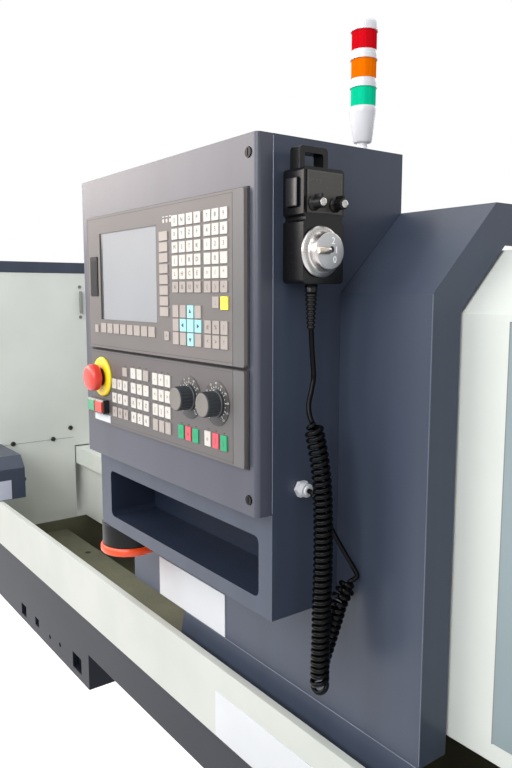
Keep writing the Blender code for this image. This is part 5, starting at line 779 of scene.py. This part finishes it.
def makePendant():
    plate = boxFrom("pendantCard", (0.6679, -0.5322, 1.3843), (0.66842, -0.4818, 1.4282))
    pickFaces(plate, lambda side: side.normal.x > 0.9)
    bpy.ops.mesh.inset(thickness=0.0012)
    bpy.ops.transform.translate(value=(-0.0001, 0, 0))
    leaveEdit()
    dress(plate, finish["pendantPlate"], "carriage")
    signs = []
    for words, y, z, size in pendant["signs"]:
        signs.append(wordFrom("pendantSign", words, size, (0.66852, y, z), "X"))
    near, far = pendant["cardSides"]
    top, bottom = pendant["cardEnds"]
    line = pendant["cardLine"]
    for z in (top, bottom):
        signs.append(boxFrom("cardLine", (0.66835, near, z - line), (0.66850, far, z + line)))
    for y in (near, far):
        signs.append(boxFrom("cardLine", (0.66835, y - line, bottom), (0.66850, y + line, top)))
    dress(joinAll("pendantSigns", signs), finish["displayFilm"], "carriage")
    for label, y, body, nodeName in pendant["selectors"]:
        centre = (pendant["selectorX"], y, pendant["selectorZ"])
        stem = turnedFrom(label + "Stem", [(0.0078, 0.0), (0.0079, 0.0018), (0.0072, 0.0026), (0.0062, 0.0036),
                (0.0058, 0.0060), (0.0058, 0.0146), (0.0052, 0.0152)], centre, "X", 40)
        fin = boxFrom("selectorFin", (0.6712, y - 0.0016, pendant["selectorZ"]),
                (0.6832, y + 0.0016, pendant["selectorZ"] + 0.0090), 0.0008)
        dress(joinAll(label + "Selector", [stem, fin]), finish["drumBlack"], body, (nodeName,))
        cap = turnedFrom(label + "Cap", [(0.0042, 0.0148), (0.0044, 0.0156), (0.0042, 0.0164), (0.0034, 0.0169),
                (0.0020, 0.0170), (0.0018, 0.0164)], centre, "X", 40)
        dress(cap, finish["platedSteel"], body)
    centre = pendant["wheel"]
    wheel = turnedFrom("crankWheel", [(0.0262, 0.0), (0.0272, 0.0006), (0.0275, 0.0016), (0.0275, 0.0024),
            (0.0268, 0.0034), (0.0246, 0.0044), (0.0212, 0.0049), (0.0206, 0.0056), (0.0200, 0.0062),
            (0.0200, 0.0148), (0.0197, 0.0160), (0.0188, 0.0167), (0.0180, 0.0168)], centre, "X", 96)
    dress(wheel, finish["turnedAluminium"], "pendant_crank", ("pendant_wheel",))
    disc = turnedFrom("crankFace", [(0.0184, 0.0160), (0.0184, 0.0169), (0.0180, 0.0171)], centre, "X", 96)
    dress(disc, finish["satinFace"], "pendant_crank")
    front = centre[0] + 0.0171
    slot = boxFrom("crankSlot", (front - 0.0002, -0.5297, 1.3408), (front + 0.0001, -0.5098, 1.3478), 0.00008, 1)
    dress(slot, finish["platedSteel"], "pendant_crank")
    rod = turnedFrom("crankPin", [(0.0036, 0.0), (0.0041, 0.0008), (0.0041, 0.0156), (0.0034, 0.0166)],
            (front + 0.0006, -0.5312, 1.3443), "Y", 32)
    dress(rod, finish["brassPin"], "pendant_crank")
    # painted shade: a black disc on the wheel face standing in for the dark inside of a hole
    hole = turnedFrom("crankHoleShade", [(0.0034, 0.0), (0.0034, 0.0003)], (front - 0.0001, -0.5112, 1.3458), "X", 32)
    dress(hole, finish["blackGap"], "pendant_crank")
    numbers = [wordFrom("crankNumber", word, pendant["numberSize"], (front + 0.0004, y, z), "X") for word, y,
            z in pendant["numbers"]]
    for number in numbers:
        pickOnly(number)
        bpy.ops.object.modifier_add(type="SOLIDIFY")
        number.modifiers[-1].thickness = 0.0003
        bpy.ops.object.modifier_apply(modifier=number.modifiers[-1].name)
    dress(joinAll("crankNumbers", numbers), finish["whiteInk"], "pendant_crank")
    ticks = []
    for number in range(pendant["ticks"]):
        angle = math.tau * number / pendant["ticks"]
        reach = 0.0026 if number % 5 == 0 else 0.0016
        tick = boxFrom("scaleTick", (-0.0001, -0.00022, -reach / 2), (0.0001, 0.00022, reach / 2))
        tick.rotation_euler = (-angle, 0, 0)
        away = pendant["tickRadius"]
        tick.location = (centre[0] + 0.0046, centre[1] + away * math.sin(angle), centre[2] + away * math.cos(angle))
        ticks.append(settle(tick, "scaleTick"))
    dress(joinAll("scaleTicks", ticks), finish["inkDark"], "pendant_crank")
    relief = [(0.0066, 0.0), (0.0070, 0.0008), (0.0070, 0.0085), (0.0062, 0.0092)]
    for number in range(pendant["ribs"]):
        down = 0.0100 + number * 0.0050
        size = 0.0068 - number * 0.0003
        relief += [(size - 0.0014, down), (size, down + 0.0008), (size, down + 0.0030),
                (size - 0.0014, down + 0.0038)]
    sleeve = turnedFrom("pendantSleeve", relief, pendant["relief"], "-Z", 40)
    dress(sleeve, finish["blackPlastic"], "carriage", ("pendant_relief",))


makePendant()
print("pendant made")


# signal tower and the round housing under the console

tower = {
    "x": 0.607, "y": -0.392, "foot": 1.4703, "lens": 0.0150, "collar": 0.0163, "rib": 0.965,
    "standHeight": 0.0523, "lensHeight": 0.0215, "collarHeight": 0.0105, "gap": 0.0003,
    # label, finish, CAD node, slot
    "lenses": (("green", "greenLens", "lamp_green", "lens_green"),
        ("amber", "amberLens", "lamp_amber", "lens_amber"), ("red", "redLens", "lamp_red", "lens_red")),
}


def makeTower():
    centre = (tower["x"], tower["y"], tower["foot"])
    stand = turnedFrom("towerStand", [(0.0105, 0.0), (0.0105, 0.0018), (0.0070, 0.0028), (0.0064, 0.0036),
            (0.0064, 0.0100), (0.0104, 0.0108), (0.0114, 0.0126), (0.0152, 0.0400), (0.0159, 0.0440),
            (0.0163, 0.0460), (0.0163, 0.0515), (0.0160, 0.0520)], centre, "Z", 64)
    dress(stand, finish["whitePlastic"], "carriage", ("lamp_base",))
    level = tower["foot"] + tower["standHeight"]
    for label, colour, nodeName, slotName in tower["lenses"]:
        size = tower["lens"]
        lens = turnedFrom(label + "Lens", [(size - 0.0004, 0.0), (size, 0.0010), (size, 0.0205),
                (size - 0.0004, 0.0215)], (tower["x"], tower["y"], level), "Z", 72)

        def isRib(side):
            away = side.center - Vector((tower["x"], tower["y"], side.center.z))
            return abs(side.normal.z) < 0.3 and round(math.degrees(math.atan2(away.y, away.x)) / 5 - 0.5) % 3 == 0

        pickFaces(lens, isRib)
        bpy.ops.transform.resize(value=(tower["rib"], tower["rib"], 1),
                center_override=(tower["x"], tower["y"], level))
        leaveEdit()
        dress(lens, finish[colour], "carriage", (nodeName,))
        size = tower["collar"]
        top = [(size, 0.0), (size, 0.0052), (size - 0.0010, 0.0062), (size - 0.0012, 0.0104)]
        if label == "red":
            top = [(size, 0.0), (size, 0.0062), (size - 0.0006, 0.0090), (size - 0.0022, 0.0114),
                    (size - 0.0056, 0.0127), (0.0030, 0.0130)]
        collar = turnedFrom(label + "Collar", top, (tower["x"], tower["y"], level + tower["lensHeight"]), "Z", 64)
        dress(collar, finish["whitePlastic"], "carriage")
        level += tower["lensHeight"] + tower["collarHeight"] + tower["gap"]


makeTower()

drum = {"centre": (0.178, -0.5015, 0.9197), "radius": 0.0460, "ring": 0.0496, "height": 0.0500}


def makeDrum():
    r, h = drum["radius"], drum["height"]
    shell = turnedFrom("lampDrum", [(r - 0.0012, 0.0), (r, 0.0010), (r, h - 0.0100), (r - 0.0015, h - 0.0045),
            (r - 0.0040, h - 0.0030), (r - 0.0080, h - 0.0024)], drum["centre"], "-Z", 72)
    dress(shell, finish["drumBlack"], "carriage", ("work_lamp",))
    f = drum["ring"]
    ring = turnedFrom("lampRing", [(r - 0.0010, h - 0.0128), (r + 0.0012, h - 0.0126), (f - 0.0006, h - 0.0100),
            (f, h - 0.0080), (f, h - 0.0016), (f - 0.0012, h), (r + 0.0010, h), (r - 0.0010, h - 0.0012)],
            drum["centre"], "-Z", 96)
    dress(ring, finish["orangeRing"], "carriage")


makeDrum()
print("tower and lamp made")


# plates, screws and seals

plates = {
    # piece: finish, body, corners, edge
    "instructionPlate": ("paperWhite", "carriage", (0.175, -0.4446, 0.7705), (0.380, -0.4429, 0.8390), 0.0005),
    "namePlate": ("paperWhite", "root", (0.403, -0.4783, 0.6340), (0.935, -0.4768, 0.7060), 0.0005),
    "wallSeam": ("inkDark", "root", (-0.8502, -0.3968, 0.8538), (-0.8494, -0.1800, 0.8546), 0.0),
    "guardInset": ("lilacPaint", "root", (-0.6504, -0.4735, 0.7480), (-0.6490, -0.4400, 0.8000), 0.0005),
    # a blue-grey plate over the tail guard's recess, darker than the cream round it
    "tailInset": ("insetBlueGrey", "root", (0.8230, -0.3930, 0.8120), (1.5050, -0.3850, 1.2700), 0.0006),
}
wall = {  # the headstock's right wall
    "x": -0.8502, "screw": 0.0070, "handleScrew": 0.0050, "handle": ((-0.8490, -0.1480, 1.2380),
        (-0.8380, -0.1400, 1.3060)),
    "screws": ((-0.3679, 0.8561), (-0.2455, 0.8561), (-0.1890, 0.8850), (-0.3762, 0.7661), (-0.3408, 0.7452)),
    "handleScrews": ((-0.1450, 1.3190), (-0.1450, 1.2270)),
}
sides = {  # seams and screws of the hidden sides
    "line": 0.0016, "low": 0.5600, "high": 1.2816, "bars": (0.560, 1.280),
    "rearSeams": (-0.050, 0.750), "frontEdges": (-1.470, -0.9316), "endEdges": (-0.400, 0.3284),
    "rearScrews": (-0.80, -0.45, -0.10, 0.00, 0.35, 0.70, 0.80, 1.15, 1.50), "rearLevels": (0.600, 1.300),
    "coverLevels": (1.2500, 0.5900), "frontScrews": (-1.445, -0.955), "endScrews": (-0.370, 0.300),
    "cabinetLocks": (-1.400, -0.740),
}


def screwHead(name, place, facing, radius, finishName, body):
    head = turnedFrom(name, [(radius, 0.0), (radius, radius * 0.55), (radius * 0.86, radius * 0.72),
            (radius * 0.50, radius * 0.74), (radius * 0.46, radius * 0.35)], place, facing, 28)
    return dress(head, finish[finishName], body)


def makeSideDetails():
    line, low, high = sides["line"], sides["low"], sides["high"]
    seams = []
    for x in sides["rearSeams"]:
        seams.append(boxFrom("panelSeam", (x - 0.0010, 0.4065, 0.570), (x + 0.0010, 0.4074, 1.330)))
    for z in sides["bars"]:
        seams.append(boxFrom("panelSeam", (-1.470, -0.4778, z), (-0.930, -0.4768, z + line)))
        seams.append(boxFrom("panelSeam", (-1.5508, -0.400, z), (-1.5498, 0.330, z + line)))
    for x in sides["frontEdges"]:
        seams.append(boxFrom("panelSeam", (x, -0.4778, low), (x + line, -0.4768, high)))
    for y in sides["endEdges"]:
        seams.append(boxFrom("panelSeam", (-1.5508, y, low), (-1.5498, y + line, high)))
    dress(joinAll("panelSeams", seams), finish["seamGrey"], "root")
    heads = [("guardScrew", (x, 0.4070, z), "Y", 0.0055, "platedSteel") for x in sides["rearScrews"]
            for z in sides["rearLevels"]]
    for z in sides["coverLevels"]:
        heads += [("coverScrew", (x, -0.4772, z), "-Y", 0.0065, "screwDark") for x in sides["frontScrews"]]
    for z in sides["coverLevels"]:
        heads += [("coverScrew", (-1.5502, y, z), "-X", 0.0065, "screwDark") for y in sides["endScrews"]]
    heads += [("cabinetLock", (x, 0.6002, 0.700), "Y", 0.0110, "platedSteel") for x in sides["cabinetLocks"]]
    for number, (name, place, facing, radius, finishName) in enumerate(heads):
        screwHead(name + str(number + 1), place, facing, radius, finishName, "root")


def makePlates():
    for name, (finishName, body, low, high, edge) in plates.items():
        dress(boxFrom(name, low, high, edge), finish[finishName], body)
    heads = [(place, wall["screw"], "screwDark") for place in wall["screws"]]
    heads += [(place, wall["handleScrew"], "seamGrey") for place in wall["handleScrews"]]
    for number, (place, radius, finishName) in enumerate(heads):
        screwHead("wallScrew" + str(number + 1), (wall["x"], *place), "X", radius, finishName, "root")
    dress(boxFrom("wallHandle", *wall["handle"], 0.0030, 3), finish["seamGrey"], "root")
    # painted shade: a black disc on the chip pan standing in for the dark inside of a hole
    hole = turnedFrom("shelfHoleShade", [(0.0085, 0.0), (0.0085, 0.0004)], (-0.612, -0.2443, 0.5648), "Z", 32)
    dress(hole, finish["blackGap"], "root")
    seals = [boxFrom("tailSeal", (0.8218, -0.3926, 0.8110), (0.8232, -0.3900, 1.2712)),
            boxFrom("tailSeal", (0.8218, -0.3926, 1.2698), (1.5060, -0.3900, 1.2712))]
    dress(joinAll("tailSeals", seals), finish["seamGrey"], "root")


makePlates()
makeSideDetails()
print("plates and screws made")


# floor, light, world

studio = {"floorSize": 30.0, "floor": (0.60, 0.60, 0.61), "ambient": 0.50, "ambientColour": (0.93, 0.96, 1.0)}


def whiteRays(tree):  # 1 where the camera, a mirror or a glass looks at the background, else 0
    path = tree.nodes.new("ShaderNodeLightPath")
    chosen = path.outputs["Is Camera Ray"]
    for other in ("Is Glossy Ray", "Is Transmission Ray"):
        either = tree.nodes.new("ShaderNodeMath")
        either.operation = "MAXIMUM"
        tree.links.new(chosen, either.inputs[0])
        tree.links.new(path.outputs[other], either.inputs[1])
        chosen = either.outputs["Value"]
    return chosen


def makeStudio():
    deselectAll()
    bpy.ops.mesh.primitive_plane_add(size=studio["floorSize"], location=(0, 0, 0))
    floor = settle(bpy.context.object, "studioFloor")
    paper = bpy.data.materials.new("studioPaper")
    paper.use_nodes = True
    tree = paper.node_tree
    shader = tree.nodes["Principled BSDF"]
    shader.inputs["Base Color"].default_value = (*studio["floor"], 1)
    shader.inputs["Roughness"].default_value = 0.9
    shader.inputs["Emission Color"].default_value = (1, 1, 1, 1)
    tree.links.new(whiteRays(tree), shader.inputs["Emission Strength"])
    floor.data.materials.append(paper)
    world = bpy.data.worlds.new("studioWorld")
    bpy.context.scene.world = world
    world.use_nodes = True
    tree = world.node_tree
    tree.nodes.clear()
    skies = []
    for colour, strength in ((studio["ambientColour"], studio["ambient"]), ((1, 1, 1), 1.0)):
        sky = tree.nodes.new("ShaderNodeBackground")
        sky.inputs["Color"].default_value = (*colour, 1)
        sky.inputs["Strength"].default_value = strength
        skies.append(sky.outputs["Background"])
    mix = tree.nodes.new("ShaderNodeMixShader")
    tree.links.new(whiteRays(tree), mix.inputs["Fac"])
    for slot, sky in zip((1, 2), skies):
        tree.links.new(sky, mix.inputs[slot])
    out = tree.nodes.new("ShaderNodeOutputWorld")
    tree.links.new(mix.outputs["Shader"], out.inputs["Surface"])


warm, plain = (1.0, 0.89, 0.82), (1.0, 1.0, 1.0)  # lamp colours
lamps = (
    # place, aimed at, width, height, power, colour
    ((-2.3, -2.1, 2.35), (0.3, -0.5, 1.25), 2.4, 1.5, 58, warm),
    ((1.35, -1.35, 2.60), (0.65, -0.5, 1.1), 0.35, 0.35, 5, plain),
    ((-0.1, -1.9, 1.95), (-0.1, -0.2, 1.05), 1.2, 0.9, 15, plain),
    ((1.7, -2.8, 2.2), (0.9, -0.4, 0.95), 1.6, 1.4, 44, plain),
    ((0.0, 0.4, 4.2), (0.0, 0.0, 0.8), 3.6, 2.4, 28, plain),
    ((0.0, 3.4, 2.6), (0.0, 0.2, 0.9), 3.0, 2.0, 36, plain),
)


def makeLamps():
    for number, (place, target, width, height, power, colour) in enumerate(lamps):
        deselectAll()
        bpy.ops.object.light_add(type="AREA", location=place)
        lamp = bpy.context.object
        lamp.name = "softbox" + str(number + 1)
        lamp.data.shape = "RECTANGLE"
        lamp.data.size = width
        lamp.data.size_y = height
        lamp.data.energy = power
        lamp.data.color = colour
        lamp.rotation_euler = (Vector(target) - Vector(place)).to_track_quat("-Z", "Y").to_euler()


makeStudio()
makeLamps()
print("studio lit")
